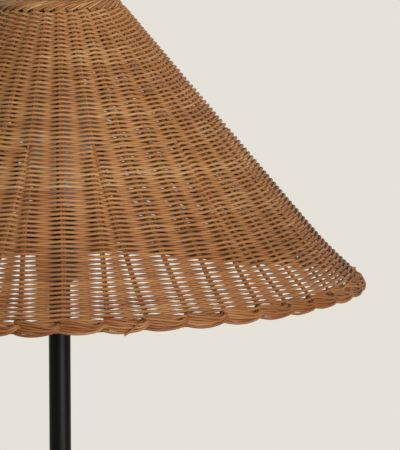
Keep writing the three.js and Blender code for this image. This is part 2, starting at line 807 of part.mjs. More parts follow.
// Carrier: the ring on the lampholder's shoulder and three wires up to the ring under the top border
function buildCarrier() {
  const hole = holderRadius + 2 * seatGap;
  add('carrier_ring', ring(hole, carrierRadius, carrierBottom, carrierTop), black);

  const topRingRadius = topCentre.radius - topRingInset;
  const topRingHeight = rimHeight + topCentre.height - topRingDrop;
  const topRing = new THREE.TorusGeometry(topRingRadius, carrierWireRadius, wireSides, topRingSteps);
  add('top_wire_ring', topRing.translate(0, 0, topRingHeight), black);

  const footRadius = carrierRadius - carrierFootInset;
  const footBottom = carrierTop + seatGap;
  const footTop = footBottom + carrierFootRise;
  const bendTop = footTop + carrierBendRise;
  const wireTop = topRingHeight - carrierWireRadius - seatGap;
  const pull = carrierBendRise / 2;
  const section = new THREE.Shape().absarc(0, 0, carrierWireRadius, 0, FULL_TURN);
  for (let i = 0; i < carrierWires; i++) {
    const at = (radius, height) => new THREE.Vector3(radius, 0, height);
    const route = new THREE.CurvePath();
    route.add(new THREE.LineCurve3(at(footRadius, footBottom), at(footRadius, footTop)));
    route.add(new THREE.CubicBezierCurve3(
      at(footRadius, footTop),
      at(footRadius, footTop + pull),
      at(topRingRadius, bendTop - pull),
      at(topRingRadius, bendTop),
    ));
    route.add(new THREE.LineCurve3(at(topRingRadius, bendTop), at(topRingRadius, wireTop)));
    const wire = new THREE.ExtrudeGeometry(section, {
      extrudePath: route,
      steps: wireSteps,
      curveSegments: wireSides / 2,
      bevelEnabled: false,
    });
    wire.rotateZ(radians(carrierTurnDegrees) + (FULL_TURN * i) / carrierWires);
    add('carrier_wire_' + (i + 1), wire, black);
  }
}

buildBase();
buildFoot();
buildPole();
buildLampholder();
buildClampRing();
buildBulb();
buildWeave();
buildBorders();
buildCarrier();

export default lamp;
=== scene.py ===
"""A rattan floor lamp: canes woven and plaited one by one, and the metal, plastic and bulb pieces under them.

Sizes are in metres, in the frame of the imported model, which gives the places of the plain pieces.
"""

import json
import math

import bmesh
import bpy
import numpy as np
from bpy.props import FloatProperty, FloatVectorProperty, IntProperty, PointerProperty
from bpy.types import Operator, Panel, PropertyGroup
from mathutils import Matrix, Vector

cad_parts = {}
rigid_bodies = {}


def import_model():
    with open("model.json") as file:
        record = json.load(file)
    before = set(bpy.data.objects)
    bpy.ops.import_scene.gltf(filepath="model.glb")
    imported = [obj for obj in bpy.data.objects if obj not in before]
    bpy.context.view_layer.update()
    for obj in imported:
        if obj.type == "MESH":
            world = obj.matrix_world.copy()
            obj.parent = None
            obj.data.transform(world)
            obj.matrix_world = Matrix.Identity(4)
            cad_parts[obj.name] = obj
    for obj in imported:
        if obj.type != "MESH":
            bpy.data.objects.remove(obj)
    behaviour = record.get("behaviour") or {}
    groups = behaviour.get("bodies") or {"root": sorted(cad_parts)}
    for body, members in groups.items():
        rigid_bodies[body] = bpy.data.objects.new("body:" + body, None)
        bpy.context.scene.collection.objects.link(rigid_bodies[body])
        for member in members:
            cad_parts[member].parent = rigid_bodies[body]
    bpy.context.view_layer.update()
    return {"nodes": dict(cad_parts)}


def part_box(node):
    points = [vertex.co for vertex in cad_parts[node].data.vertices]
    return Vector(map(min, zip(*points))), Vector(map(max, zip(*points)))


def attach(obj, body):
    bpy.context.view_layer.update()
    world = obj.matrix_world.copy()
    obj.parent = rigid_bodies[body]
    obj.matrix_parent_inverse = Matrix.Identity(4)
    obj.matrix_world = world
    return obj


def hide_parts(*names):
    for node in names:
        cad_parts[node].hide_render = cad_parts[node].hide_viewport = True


bl_info = {
    "name": "Rattan Floor Lamp",
    "version": (1, 0, 0),
    "blender": (4, 5, 0),
    "location": "3D View > Sidebar > Rattan Lamp",
    "description": "Builds the finished pieces of a floor lamp with a woven cane shade",
    "category": "Add Mesh",
}

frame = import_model()

FULL_TURN = 2 * math.pi
SEAT_GAP = 0.0003
SHARP = math.radians(32)


# Settings


def metres(name, description, default):
    return FloatProperty(name=name, description=description, default=default, unit="LENGTH")


def degrees(name, description, default):
    return FloatProperty(name=name, description=description, default=math.radians(default), subtype="ANGLE")


def whole(name, description, default):
    return IntProperty(name=name, description=description, default=default)


def tint(name, description, default):
    return FloatVectorProperty(name=name, description=description, default=default, subtype="COLOR")


class RattanLampShade(PropertyGroup):
    """Sizes of the woven shade"""

    rim_height: metres("Rim Height", "Height of the shade's lower edge", 1.26)
    height: metres("Height", "Height of the shade", 0.24)
    top_radius: metres("Top Radius", "Radius of the cone at its top", 0.048)
    cone_radius: metres("Cone Radius", "Radius of the plain cone at the rim", 0.2486)
    flare_height: metres("Flare Height", "Height over which the cone flares out", 0.045)
    flare_reach: metres("Flare Reach", "How far the rim stands outside the cone", 0.0086)
    wall: metres("Wall", "Thickness of the woven wall", 0.0064)
    lean: degrees("Lean", "How far off level the shade hangs", 0.9)
    sag: metres("Sag", "How far the rim hangs down at one side", 0.0055)
    sag_at: degrees("Sag At", "Where the rim hangs down", 139)
    front_stake: degrees("Front Stake", "Place of the first stake", 0.8)
    top_stakes: whole("Top Stakes", "Number of stakes at the top", 35)
    split_every: whole("Split Every", "Every so many stakes one parts in two", 3)
    split_height: metres("Split Height", "Height above the rim where stakes part", 0.133)
    stake_width: metres("Stake Width", "Width of a stake, two canes side by side", 0.005)
    stake_cane: metres("Stake Cane", "Thickness of each of a stake's two canes", 0.0020)
    row_pitch: metres("Row Pitch", "Distance between the rows, up the wall", 0.0021)
    weaver: metres("Weaver", "Thickness of the woven cane", 0.00217)
    tightness: FloatProperty(
        name="Tightness", description="How much thicker the woven cane lies higher up", default=0.05
    )
    tight_from: metres("Tight From", "Height where the weave grows tighter", 0.045)
    weave_depth: metres("Weave Depth", "How far the cane swings each way", 0.00213)
    weave_from: metres("Weave From", "Height of the lowest row above the rim", 0.0062)
    weave_to: metres("Weave To", "Height of the highest row above the rim", 0.2325)
    cane_length: metres("Cane Length", "Length of one woven cane", 3.2)
    row_waver: metres("Row Waver", "How far the rows wander", 0.00028)
    steps: whole("Steps", "Bends of the cane from stake to stake", 8)
    sides: whole("Sides", "Faces round a cane", 8)


class RattanLampBorders(PropertyGroup):
    """Sizes of the plaited borders"""

    rim_canes: whole("Rim Canes", "Canes that each stake lays along the rim", 6)
    rim_cane: metres("Rim Cane", "Thickness of the rim's canes", 0.0021)
    rim_radius: metres("Rim Radius", "Radius of the rim border's middle", 0.2465)
    rim_middle: metres("Rim Middle", "Height of the rim border's middle", 0.0039)
    rim_slope: degrees("Rim Slope", "Steepness of the rim border", 62)
    loose_end: whole("Loose End", "Stake whose cane has one end sprung out", 2)
    top_cane: metres("Top Cane", "Thickness of the top's canes", 0.0021)
    top_radius: metres("Top Radius", "Radius of the top border's middle", 0.0482)
    top_middle: metres("Top Middle", "Height of the top border's middle", 0.23383)
    top_slope: degrees("Top Slope", "Steepness of the top border", 52)


class RattanLampBody(PropertyGroup):
    """Sizes of the turned pieces that their boxes don't give"""

    edge: metres("Edge", "Rounding of the turned edges", 0.0004)
    pole_wall: metres("Pole Wall", "Thickness of the pole's wall", 0.0012)
    joiner_wall: metres("Joiner Wall", "Thickness of a joiner's wall", 0.0024)
    joiner_flange: metres("Joiner Flange", "Height of a joiner's collar", 0.0015)
    plug_flange: metres("Plug Flange", "Height of the top plug's collar", 0.002)
    nipple: metres("Threaded Tube", "Radius of the threaded tube", 0.005)
    plate_edge: metres("Plate Edge", "Rounding of the base plate", 0.002)
    recess_radius: metres("Recess Radius", "Radius of the recess under the plate", 0.024)
    recess_depth: metres("Recess Depth", "Depth of the recess under the plate", 0.006)
    pad_hole: metres("Pad Hole", "Radius of the hole in the pad", 0.032)
    cable_bore: metres("Cable Bore", "Radius of the bore in the cable bush", 0.0035)
    bush: metres("Bush", "Radius of the cable bush's sleeve", 0.0045)
    grub: metres("Grub Screw", "Radius of the grub screw", 0.0025)
    cord_space: metres("Cord Space", "Radius of the space in the foot", 0.0074)
    foot_floor: metres("Foot Floor", "Thickness of the foot under that space", 0.009)
    wire: metres("Wire", "Radius of the carrier's wire", 0.002)
    thread_pitch: metres("Thread Pitch", "Rise of the bulb's thread in a turn", 0.003629)


class RattanLampColours(PropertyGroup):
    """Colours of the cane and of what is behind the lamp"""

    cane_dark: tint("Dark Cane", "Darkest cane", (0.165, 0.054, 0.015))
    cane_middle: tint("Middle Cane", "Usual cane", (0.325, 0.145, 0.048))
    cane_pale: tint("Pale Cane", "Palest cane", (0.50, 0.325, 0.150))
    backdrop: tint("Backdrop", "Colour behind the lamp", (0.7913, 0.7605, 0.6939))


class RattanLampView(PropertyGroup):
    """Camera and lights"""

    distance: metres("Distance", "From the camera to the pole", 2.475)
    height: metres("Height", "Height of the camera", 1.6007)
    lens: FloatProperty(name="Lens", description="Focal length in millimetres", default=242.4)
    pan: degrees("Pan", "Turn of the camera to the right", 2.681)
    tilt: degrees("Tilt", "Tilt of the camera downwards", 6.65)
    key_power: FloatProperty(name="Key", description="Power of the soft light", default=202.0, subtype="POWER")
    fill: FloatProperty(name="Fill", description="Strength of the light from all sides", default=0.19)


# Node trees


class Signal:
    """A shader socket that takes part in sums: each sum adds its Math node"""

    def __init__(self, nodes, socket):
        self.nodes = nodes
        self.socket = socket

    def math(self, operation, *terms):
        return self.nodes.add("ShaderNodeMath", {"operation": operation}, dict(enumerate(terms)))

    def __add__(self, other):
        return self.math("ADD", self, other)

    def __radd__(self, other):
        return self.math("ADD", other, self)

    def __sub__(self, other):
        return self.math("SUBTRACT", self, other)

    def __rsub__(self, other):
        return self.math("SUBTRACT", other, self)

    def __mul__(self, other):
        return self.math("MULTIPLY", self, other)

    def __rmul__(self, other):
        return self.math("MULTIPLY", other, self)

    def clamped(self, low, high):
        """The value between two limits, spread over 0 to 1"""
        settings = {"interpolation_type": "SMOOTHSTEP"}
        return self.nodes.add("ShaderNodeMapRange", settings, {0: self, 1: low, 2: high})


class Nodes:
    """A node tree and the one way to add to it"""

    def __init__(self, tree):
        self.tree = tree
        tree.nodes.clear()

    def add(self, kind, settings=None, values=None, output=0):
        made = self.tree.nodes.new(kind)
        for key, value in (settings or {}).items():
            if key == "stops":
                self.set_stops(made.color_ramp, value)
            else:
                setattr(made, key, value)
        for key, value in (values or {}).items():
            if isinstance(value, Signal):
                self.tree.links.new(value.socket, made.inputs[key])
            else:
                made.inputs[key].default_value = value
        return Signal(self, made.outputs[output]) if made.outputs else made

    @staticmethod
    def set_stops(ramp, stops):
        while len(ramp.elements) < len(stops):
            ramp.elements.new(1.0)
        for element, (position, colour) in zip(ramp.elements, stops):
            element.position = position
            element.color = (*colour, 1.0)

    def mix(self, factor, first, second):
        """A colour between two"""
        pair = [c if isinstance(c, Signal) else (*c, 1.0) for c in (first, second)]
        return self.add("ShaderNodeMix", {"data_type": "RGBA"}, {0: factor, 6: pair[0], 7: pair[1]}, 2)

    def stretched(self, vector, scale):
        return self.add("ShaderNodeVectorMath", {"operation": "MULTIPLY"}, {0: vector, 1: scale})

    def noise(self, vector, scale, detail=2.0, roughness=0.5):
        values = {"Vector": vector, "Scale": scale, "Detail": detail, "Roughness": roughness}
        return self.add("ShaderNodeTexNoise", {}, values)

    def cells(self, scale, feature="F1"):
        return self.add("ShaderNodeTexVoronoi", {"feature": feature}, {"Vector": self.place(), "Scale": scale})

    def bump(self, height, distance, strength):
        return self.add("ShaderNodeBump", {}, {"Height": height, "Distance": distance, "Strength": strength})

    def place(self):
        """Object coordinates"""
        return self.add("ShaderNodeTexCoord", {}, {}, "Object")

    def surface(self, values):
        shader = self.add("ShaderNodeBsdfPrincipled", {}, values)
        self.add("ShaderNodeOutputMaterial", {}, {"Surface": shader})


def new_material(name):
    material = bpy.data.materials.new(name)
    material.use_nodes = True
    return material, Nodes(material.node_tree)


# Finishes. Each function gives the values of its shader's sockets.


def cane_finish(nodes):
    """Peeled rattan core with a satin stain: long fibres, paler and darker lengths, and a few dark marks"""
    colours = bpy.context.scene.rattan_colours
    grain = nodes.add("ShaderNodeUVMap", {"uv_map": "Grain"})
    # The tone attribute holds each cane's paleness; on the stakes it is lowered as painted shade
    tone = nodes.add("ShaderNodeAttribute", {"attribute_name": "tone"}, {}, "Fac")
    fibres = nodes.noise(nodes.stretched(grain, (45.0, 3200.0, 1.0)), 1.0, 3.0, 0.6)
    streaks = nodes.noise(nodes.stretched(grain, (16.0, 900.0, 1.0)), 1.0)
    stains = nodes.noise(nodes.stretched(grain, (70.0, 420.0, 1.0)), 1.0, 2.0, 0.6)
    mottle = nodes.noise(nodes.place(), 34.0, 3.0)
    pale = tone * 0.62 + fibres * 0.3 + streaks * 0.42 + mottle * 0.34 - 0.36
    stops = [(0.12, colours.cane_dark), (0.5, colours.cane_middle), (0.92, colours.cane_pale)]
    stained = nodes.add("ShaderNodeValToRGB", {"stops": stops}, {"Fac": pale})
    return {
        "Base Color": nodes.mix(stains.clamped(0.66, 0.74) * 0.55, stained, (0.16, 0.06, 0.02)),
        "Roughness": 0.40 + fibres * 0.2,
        "Normal": nodes.bump(fibres + streaks * 0.6, 0.00012, 0.6),
        "Specular IOR Level": 0.22,
    }


def powder_coat_finish(nodes):
    """Satin black powder coat, with its faint orange peel"""
    peel = nodes.noise(nodes.place(), 900.0)
    cloud = nodes.noise(nodes.place(), 22.0, 3.0)
    return {
        "Base Color": nodes.mix(cloud, (0.0013, 0.0013, 0.0014), (0.0032, 0.0031, 0.0033)),
        "Roughness": 0.32 + cloud * 0.08,
        "Normal": nodes.bump(peel, 0.00006, 0.35),
        "Specular IOR Level": 0.075,
    }


def moulded_plastic_finish(nodes, dark, light, roughness):
    """Moulded plastic with a fine spark-eroded grain"""
    grain = nodes.noise(nodes.place(), 2600.0)
    cloud = nodes.noise(nodes.place(), 60.0, 3.0)
    return {
        "Base Color": nodes.mix(cloud, dark, light),
        "Roughness": roughness + grain * 0.12,
        "Normal": nodes.bump(grain, 0.00004, 0.5),
        "Specular IOR Level": 0.4,
    }


def plated_metal_finish(nodes, dark, light, roughness):
    """Plated or bare metal: turning lines round it and a thin cloudy tarnish"""
    lines = nodes.noise(nodes.stretched(nodes.place(), (30.0, 30.0, 9000.0)), 1.0, 3.0, 0.7)
    cloud = nodes.noise(nodes.place(), 140.0, 4.0, 0.6)
    return {
        "Base Color": nodes.mix(cloud, dark, light),
        "Metallic": 1.0,
        "Roughness": roughness + cloud * 0.14 + lines * 0.08,
        "Normal": nodes.bump(lines, 0.00003, 0.4),
    }


def ceramic_finish(nodes):
    """Unglazed pale steatite with its fine speckle"""
    speckle = nodes.noise(nodes.place(), 1800.0, 3.0, 0.7)
    cloud = nodes.noise(nodes.place(), 90.0)
    colour = nodes.mix(cloud, (0.72, 0.69, 0.62), (0.82, 0.79, 0.73))
    return {
        "Base Color": nodes.mix(speckle.clamped(0.62, 0.75) * 0.4, colour, (0.5, 0.46, 0.4)),
        "Roughness": 0.5 + speckle * 0.2,
        "Normal": nodes.bump(speckle, 0.00005, 0.5),
    }


def opal_finish(nodes):
    """Frosted globe, painted grey rather than its own white as painted shade for its place inside the lampshade: a
    milky skin with a slightly cloudy spray
    """
    cloud = nodes.noise(nodes.place(), 46.0, 3.0)
    frost = nodes.noise(nodes.place(), 2400.0)
    return {
        # Grey for a white globe: painted shade for the globe deep inside the woven shade
        "Base Color": nodes.mix(cloud, (0.42, 0.395, 0.36), (0.48, 0.455, 0.42)),
        "Roughness": 0.38 + frost * 0.16,
        "Normal": nodes.bump(frost, 0.00003, 0.4),
        "Subsurface Weight": 0.25,
        "Subsurface Radius": (0.01, 0.01, 0.009),
        "Subsurface Scale": 0.4,
    }


def board_finish(nodes, mask, pads):
    """Circuit board: solder mask over copper tracks, with tinned pads"""
    tracks = 1.0 - nodes.cells(260.0, "DISTANCE_TO_EDGE").clamped(0.03, 0.06)
    tinned = 1.0 - nodes.cells(340.0).clamped(0.16, 0.2)
    lighter = tuple(min(1.0, c * 1.5 + 0.02) for c in mask)
    return {
        "Base Color": nodes.mix(tinned, nodes.mix(tracks, mask, lighter), pads),
        "Metallic": tinned * 0.9,
        "Roughness": 0.35 + tracks * 0.1,
        "Normal": nodes.bump(tracks, 0.00004, 0.6),
    }


def foam_finish(nodes):
    """Matt foam rubber with open pores, painted dark in their middles as painted shade"""
    pores = nodes.cells(1100.0)
    cloud = nodes.noise(nodes.place(), 70.0, 3.0)
    skin = nodes.mix(cloud, (0.022, 0.022, 0.023), (0.042, 0.042, 0.043))
    return {
        # The pores' middles are painted near black: painted shade in the holes
        "Base Color": nodes.mix(1.0 - pores.clamped(0.1, 0.4), skin, (0.008, 0.008, 0.008)),
        "Roughness": 0.8 + cloud * 0.15,
        "Normal": nodes.bump(pores, 0.0002, 0.8),
    }


# The material of each slot: its name, its function and that function's values
FINISHES = {
    "rattan": ("rattan_cane", cane_finish),
    "black_metal": ("satin_powder_coat", powder_coat_finish),
    "black_plastic": ("black_moulding", moulded_plastic_finish, (0.0065, 0.0065, 0.007), (0.012, 0.012, 0.013), 0.36),
    "white_plastic": ("white_moulding", moulded_plastic_finish, (0.76, 0.76, 0.74), (0.82, 0.82, 0.80), 0.34),
    "steel": ("zinc_plate", plated_metal_finish, (0.50, 0.51, 0.53), (0.66, 0.67, 0.68), 0.28),
    "brass": ("plain_brass", plated_metal_finish, (0.62, 0.42, 0.16), (0.78, 0.58, 0.28), 0.26),
    "nickel": ("nickel_plate", plated_metal_finish, (0.62, 0.60, 0.56), (0.74, 0.72, 0.69), 0.2),
    "pale_ceramic": ("pale_steatite", ceramic_finish),
    "frosted": ("opal_globe", opal_finish),
    "board": ("green_board", board_finish, (0.018, 0.11, 0.04), (0.70, 0.70, 0.68)),
    "white_board": ("white_board", board_finish, (0.72, 0.72, 0.70), (0.62, 0.62, 0.60)),
    "pad": ("foam_rubber", foam_finish),
}


# Pieces


def give_finish(mesh, kind):
    mesh.materials.clear()
    mesh.materials.append(bpy.data.materials[FINISHES[kind][0]])


def finish_piece(obj, slot, body, node):
    """Gives a new piece its material and its CAD body, and hides the node that it stands for"""
    give_finish(obj.data, slot)
    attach(obj, body)
    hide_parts(node)


def turned_piece(name, outline, slot, body, node, rounding=0.0, steps=96):
    finish_piece(shaded(turned_bmesh(outline, steps, rounding), name), slot, body, node)


def tube_outline(inner, low, high):
    """The outline of a plain tube or washer that fills a box"""
    return [(inner, low.z), (high.x, low.z), (high.x, high.z), (inner, high.z)]


def new_object(name, mesh):
    obj = bpy.data.objects.new(name, mesh)
    bpy.context.scene.collection.objects.link(obj)
    return obj


def shaded(bm, name, sharp=SHARP):
    """The bmesh as an object, smooth but for its sharp edges"""
    mesh = bpy.data.meshes.new(name)
    bm.to_mesh(mesh)
    bm.free()
    mesh.shade_smooth()
    mesh.set_sharp_from_angle(angle=sharp)
    return new_object(name, mesh)


def turned_bmesh(outline, steps, rounding=0.0, closed=True):
    """A turned shape: (radius, height[, rounding]) points spun round Z"""
    bm = bmesh.new()
    corners = [bm.verts.new((point[0], 0.0, point[1])) for point in outline]
    sizes = [point[2] if len(point) > 2 else rounding for point in outline]
    for pair in zip(corners, corners[1:]):
        bm.edges.new(pair)
    if closed:
        bm.edges.new((corners[-1], corners[0]))
    for size in sorted({s for s in sizes if s > 0.0}):
        chosen = [v for v, s in zip(corners, sizes) if s == size and v.co.x > 1e-6]
        bmesh.ops.bevel(
            bm, geom=chosen, offset=size, offset_type="OFFSET", segments=3, profile=0.5,
            affect="VERTICES", clamp_overlap=True, material=-1,
        )
    bmesh.ops.spin(
        bm, geom=bm.verts[:] + bm.edges[:], axis=(0.0, 0.0, 1.0), cent=(0.0, 0.0, 0.0), dvec=(0.0, 0.0, 0.0),
        angle=FULL_TURN, steps=steps, use_merge=True,
    )
    bmesh.ops.remove_doubles(bm, verts=bm.verts[:], dist=1e-7)
    bmesh.ops.recalc_face_normals(bm, faces=bm.faces[:])
    return bm


def to_back(bm, height):
    """Turns a shape about Z so that it points to the back, and lifts its axis"""
    turn = Matrix.Rotation(-math.pi / 2, 3, "X")
    bmesh.ops.rotate(bm, cent=(0.0, 0.0, 0.0), matrix=turn, verts=bm.verts[:])
    bmesh.ops.translate(bm, vec=(0.0, 0.0, height), verts=bm.verts[:])
    return bm


def prism_bmesh(radius, bottom, top, sides):
    """A closed prism about Z"""
    bm = bmesh.new()
    bmesh.ops.create_cone(
        bm, cap_ends=True, cap_tris=False, segments=sides, radius1=radius, radius2=radius,
        depth=top - bottom, matrix=Matrix.Translation((0.0, 0.0, (bottom + top) / 2)),
    )
    return bm


def drilled(name, bm, cutters):
    """The shape with the cutters taken out of it"""
    body = shaded(bm, name)
    tools = [shaded(cutter, "cutter") for cutter in cutters]
    for tool in tools:
        hole = body.modifiers.new("Hole", "BOOLEAN")
        hole.operation = "DIFFERENCE"
        hole.solver = "EXACT"
        hole.object = tool
    cut = bpy.data.meshes.new_from_object(body.evaluated_get(bpy.context.evaluated_depsgraph_get()))
    cut.set_sharp_from_angle(angle=SHARP)
    cut.name = name
    body.modifiers.clear()
    used = [body.data, *tools, *(tool.data for tool in tools)]
    body.data = cut
    bpy.data.batch_remove(used)
    return body


# Canes


def smooth_path(points, spacing):
    """A smooth line through the points, with its own points about evenly spaced"""
    points = np.asarray(points, float)
    before = 2 * points[0] - points[1]
    after = 2 * points[-1] - points[-2]
    padded = np.vstack([before, points, after])
    pieces = []
    for p0, p1, p2, p3 in zip(padded, padded[1:], padded[2:], padded[3:]):
        count = max(2, round(float(np.linalg.norm(p2 - p1)) / spacing))
        t = (np.arange(count) / count)[:, None]
        bend, twist = 2 * p0 - 5 * p1 + 4 * p2 - p3, 3 * p1 - p0 - 3 * p2 + p3
        pieces.append(0.5 * (2 * p1 + (p2 - p0) * t + bend * t**2 + twist * t**3))
    return np.vstack([*pieces, points[-1]])


def ramp(value, start, end):
    """0 before the start, 1 past the end and a straight line between"""
    return np.clip((value - start) / (end - start), 0.0, 1.0)


def along(path):
    """Distance along a path at each of its points"""
    return np.concatenate([[0.0], np.cumsum(np.linalg.norm(np.diff(path, axis=0), axis=1))])


def canes(name, runs, thickness, sides, twist="MINIMUM"):
    """Round canes as one closed mesh. Each run is (path, relative thickness, tone), given point by point."""
    curve = bpy.data.curves.new(name, "CURVE")
    curve.dimensions = "3D"
    curve.bevel_depth = thickness / 2
    curve.bevel_resolution = sides // 2 - 2
    curve.use_fill_caps = False
    curve.twist_mode = twist
    for path, size, _ in runs:
        spline = curve.splines.new("POLY")
        spline.points.add(len(path) - 1)
        spline.points.foreach_set("co", np.column_stack([path, np.ones(len(path))]).ravel())
        spline.points.foreach_set("radius", np.broadcast_to(size, len(path)).astype(np.float32))
    holder = new_object(name, curve)
    mesh = bpy.data.meshes.new_from_object(holder.evaluated_get(bpy.context.evaluated_depsgraph_get()))
    bpy.data.batch_remove([holder, curve])

    tones = np.concatenate([np.broadcast_to(tone, len(path)) for path, _, tone in runs])
    tone_layer = mesh.attributes.new("tone", "FLOAT", "POINT")
    tone_layer.data.foreach_set("value", np.repeat(tones, sides).astype(np.float32))
    counts = [len(path) for path, _, _ in runs]
    lengths = np.concatenate([along(path) for path, _, _ in runs])
    starts = np.repeat(np.arange(len(runs)) * 7.3, counts)
    rows, total = lay_maps(mesh, lengths + starts, counts, thickness, sides)
    close_ends(mesh)
    lay_end_maps(mesh, sides, rows, total)
    return new_object(name, mesh)


def lay_maps(mesh, lengths, counts, thickness, sides):
    """The Grain map, in metres along and round each cane, and a map of strips for baking, with its rows"""
    corners = np.empty(len(mesh.loops), np.int64)
    mesh.loops.foreach_get("vertex_index", corners)
    grain = mesh.uv_layers[0]
    grain.name = "Grain"
    unit = np.empty(len(corners) * 2, np.float32)
    grain.uv.foreach_get("vector", unit)
    around = unit.reshape(-1, 2)[:, 1]
    point = corners // sides
    laid = np.column_stack([lengths[point], around * math.pi * thickness + 0.37 * np.floor(lengths[point])])
    grain.uv.foreach_set("vector", laid.astype(np.float32).ravel())

    # Each length of cane between two points takes a cell of a strip, and a strip is one cell high
    quads = point.reshape(-1, 4)
    first = quads.min(axis=1)
    cane_of = np.repeat(np.arange(len(counts)), counts)
    cell = first - cane_of[first]
    cells = int(cell.max()) + 1
    rows = max(4, math.ceil(math.sqrt(cells * 0.45)))
    columns = math.ceil(cells / rows)
    ahead = (quads != first[:, None]).astype(float)
    wide = (cell % columns)[:, None] + ahead
    high = (cell // columns)[:, None] + 0.08 + 0.84 * around.reshape(-1, 4)
    total = rows + max(1, math.ceil(2 * len(counts) / rows))
    bake = mesh.uv_layers.new(name="OFBake", do_init=False)
    flat = np.stack([wide / columns, high / total], axis=2)
    bake.uv.foreach_set("vector", flat.astype(np.float32).ravel())
    mesh.uv_layers.active = grain
    grain.active_render = True
    return rows, total


def close_ends(mesh):
    """Closes the canes' cut ends with flat faces"""
    bm = bmesh.new()
    bm.from_mesh(mesh)
    ends = [edge for edge in bm.edges if edge.is_boundary]
    for edge in ends:
        edge.smooth = False
    bmesh.ops.holes_fill(bm, edges=ends, sides=0)
    bmesh.ops.recalc_face_normals(bm, faces=bm.faces[:])
    bm.to_mesh(mesh)
    bm.free()


def lay_end_maps(mesh, sides, rows, total):
    """Places of the cut ends in the map for baking, over the strips"""
    bake = mesh.uv_layers["OFBake"].uv
    flat = np.empty(len(mesh.loops) * 2, np.float32)
    bake.foreach_get("vector", flat)
    flat = flat.reshape(-1, 2)
    turn = FULL_TURN * np.arange(sides) / sides
    disc = np.column_stack([0.5 + 0.4 * np.cos(turn), 0.5 + 0.4 * np.sin(turn)])
    ends = [face.loop_start for face in mesh.polygons if face.loop_total == sides]
    for number, start in enumerate(ends):
        corner = np.array([number % rows, rows + number // rows])
        flat[start : start + sides] = (corner + disc) / (rows, total)
    bake.foreach_set("vector", flat.ravel())


class Wall:
    """The shade's wall: its outer face and the places of its stakes"""

    def __init__(self, shade):
        self.shade = shade
        self.slope = (shade.cone_radius - shade.top_radius) / shade.height
        self.lean = math.tan(shade.lean)
        parts = [i % shade.split_every == 1 for i in range(shade.top_stakes)]
        self.below = [(i, side) for i, part in enumerate(parts) for side in ((-1, 1) if part else (0,))]
        heights = np.linspace(0.0, shade.height, 4001)
        radii = self.face(heights)[0]
        self.heights = heights
        self.climb = np.concatenate([[0.0], np.cumsum(np.hypot(np.diff(heights), np.diff(radii)))])
        chance = np.random.default_rng(35)
        self.waver = [
            (int(k), chance.uniform(8, 40), chance.uniform(0, FULL_TURN), chance.uniform(0.5, 1.0))
            for k in (2, 3, 5, 7, 9, 13, 17, 22)
        ]
        self.stake_waver = chance.uniform(0, FULL_TURN, (shade.top_stakes, 2))

    def face(self, height):
        """Radius of the outer face, and how far its normal points out and up"""
        shade = self.shade
        below = np.maximum(shade.flare_height - height, 0.0) / shade.flare_height
        radius = shade.cone_radius - self.slope * height + shade.flare_reach * below**2
        slope = self.slope + 2 * shade.flare_reach * below / shade.flare_height
        length = np.hypot(1.0, slope)
        return radius, 1.0 / length, slope / length

    def leaned(self, radius, angle, height):
        """Points from cylinder coordinates. Angle 0 faces the camera."""
        shade = self.shade
        x = radius * np.sin(angle)
        near_sag = ramp(np.cos(angle - shade.sag_at), 0.85, 1.0) ** 2
        sag = shade.sag * near_sag * ramp(height, 0.08, 0.0)
        z = shade.rim_height + height + self.lean * x - sag
        return np.column_stack([x, -radius * np.cos(angle), z])

    def inside(self, angle, height, depth):
        """Points at a depth under the outer face"""
        radius, out, up = self.face(height)
        return self.leaned(radius - depth * out, angle, height - depth * up)

    def stake_angle(self, number, height):
        """Where a stake of the lower wall is at a height: two halves of a stake meet at the split"""
        shade = self.shade
        index, side = self.below[number]
        spread = np.maximum(shade.split_height - height, 0.0) / shade.split_height
        apart = side * shade.stake_width / 2 / self.face(height)[0]
        start = shade.front_stake + FULL_TURN * index / shade.top_stakes + apart
        end = shade.front_stake + FULL_TURN * number / len(self.below)
        return start + (end - start) * spread + self.stray(index, height)

    def whole_angle(self, index, height):
        """Where a stake is above the split"""
        return self.shade.front_stake + FULL_TURN * index / self.shade.top_stakes + self.stray(index, height)

    def stray(self, index, height):
        """How far a stake strays from its place, as an angle"""
        one, two = self.stake_waver[index]
        return 0.0045 * np.sin(height * 31 + one) * np.sin(height * 17 + two) * np.minimum(height / 0.02, 1.0)

    def undulation(self, angle, climb):
        """The rows' slow wandering up and down, from -1 to 1"""
        wave = sum(share * np.sin(k * angle + rate * climb + phase) for k, rate, phase, share in self.waver)
        return wave / sum(share for *_, share in self.waver) * 1.6


def slow_tone(chance, distance, middle, spread):
    """How pale a cane is along its length, round a tone of its own"""
    base = chance.normal(middle, spread)
    rates = chance.uniform(2.0, 40.0, 4)
    phases = chance.uniform(0, FULL_TURN, 4)
    wave = sum(np.sin(distance * rate + phase) for rate, phase in zip(rates, phases)) / 4
    return np.clip(base + 0.22 * wave, 0.0, 1.0)


# Operators


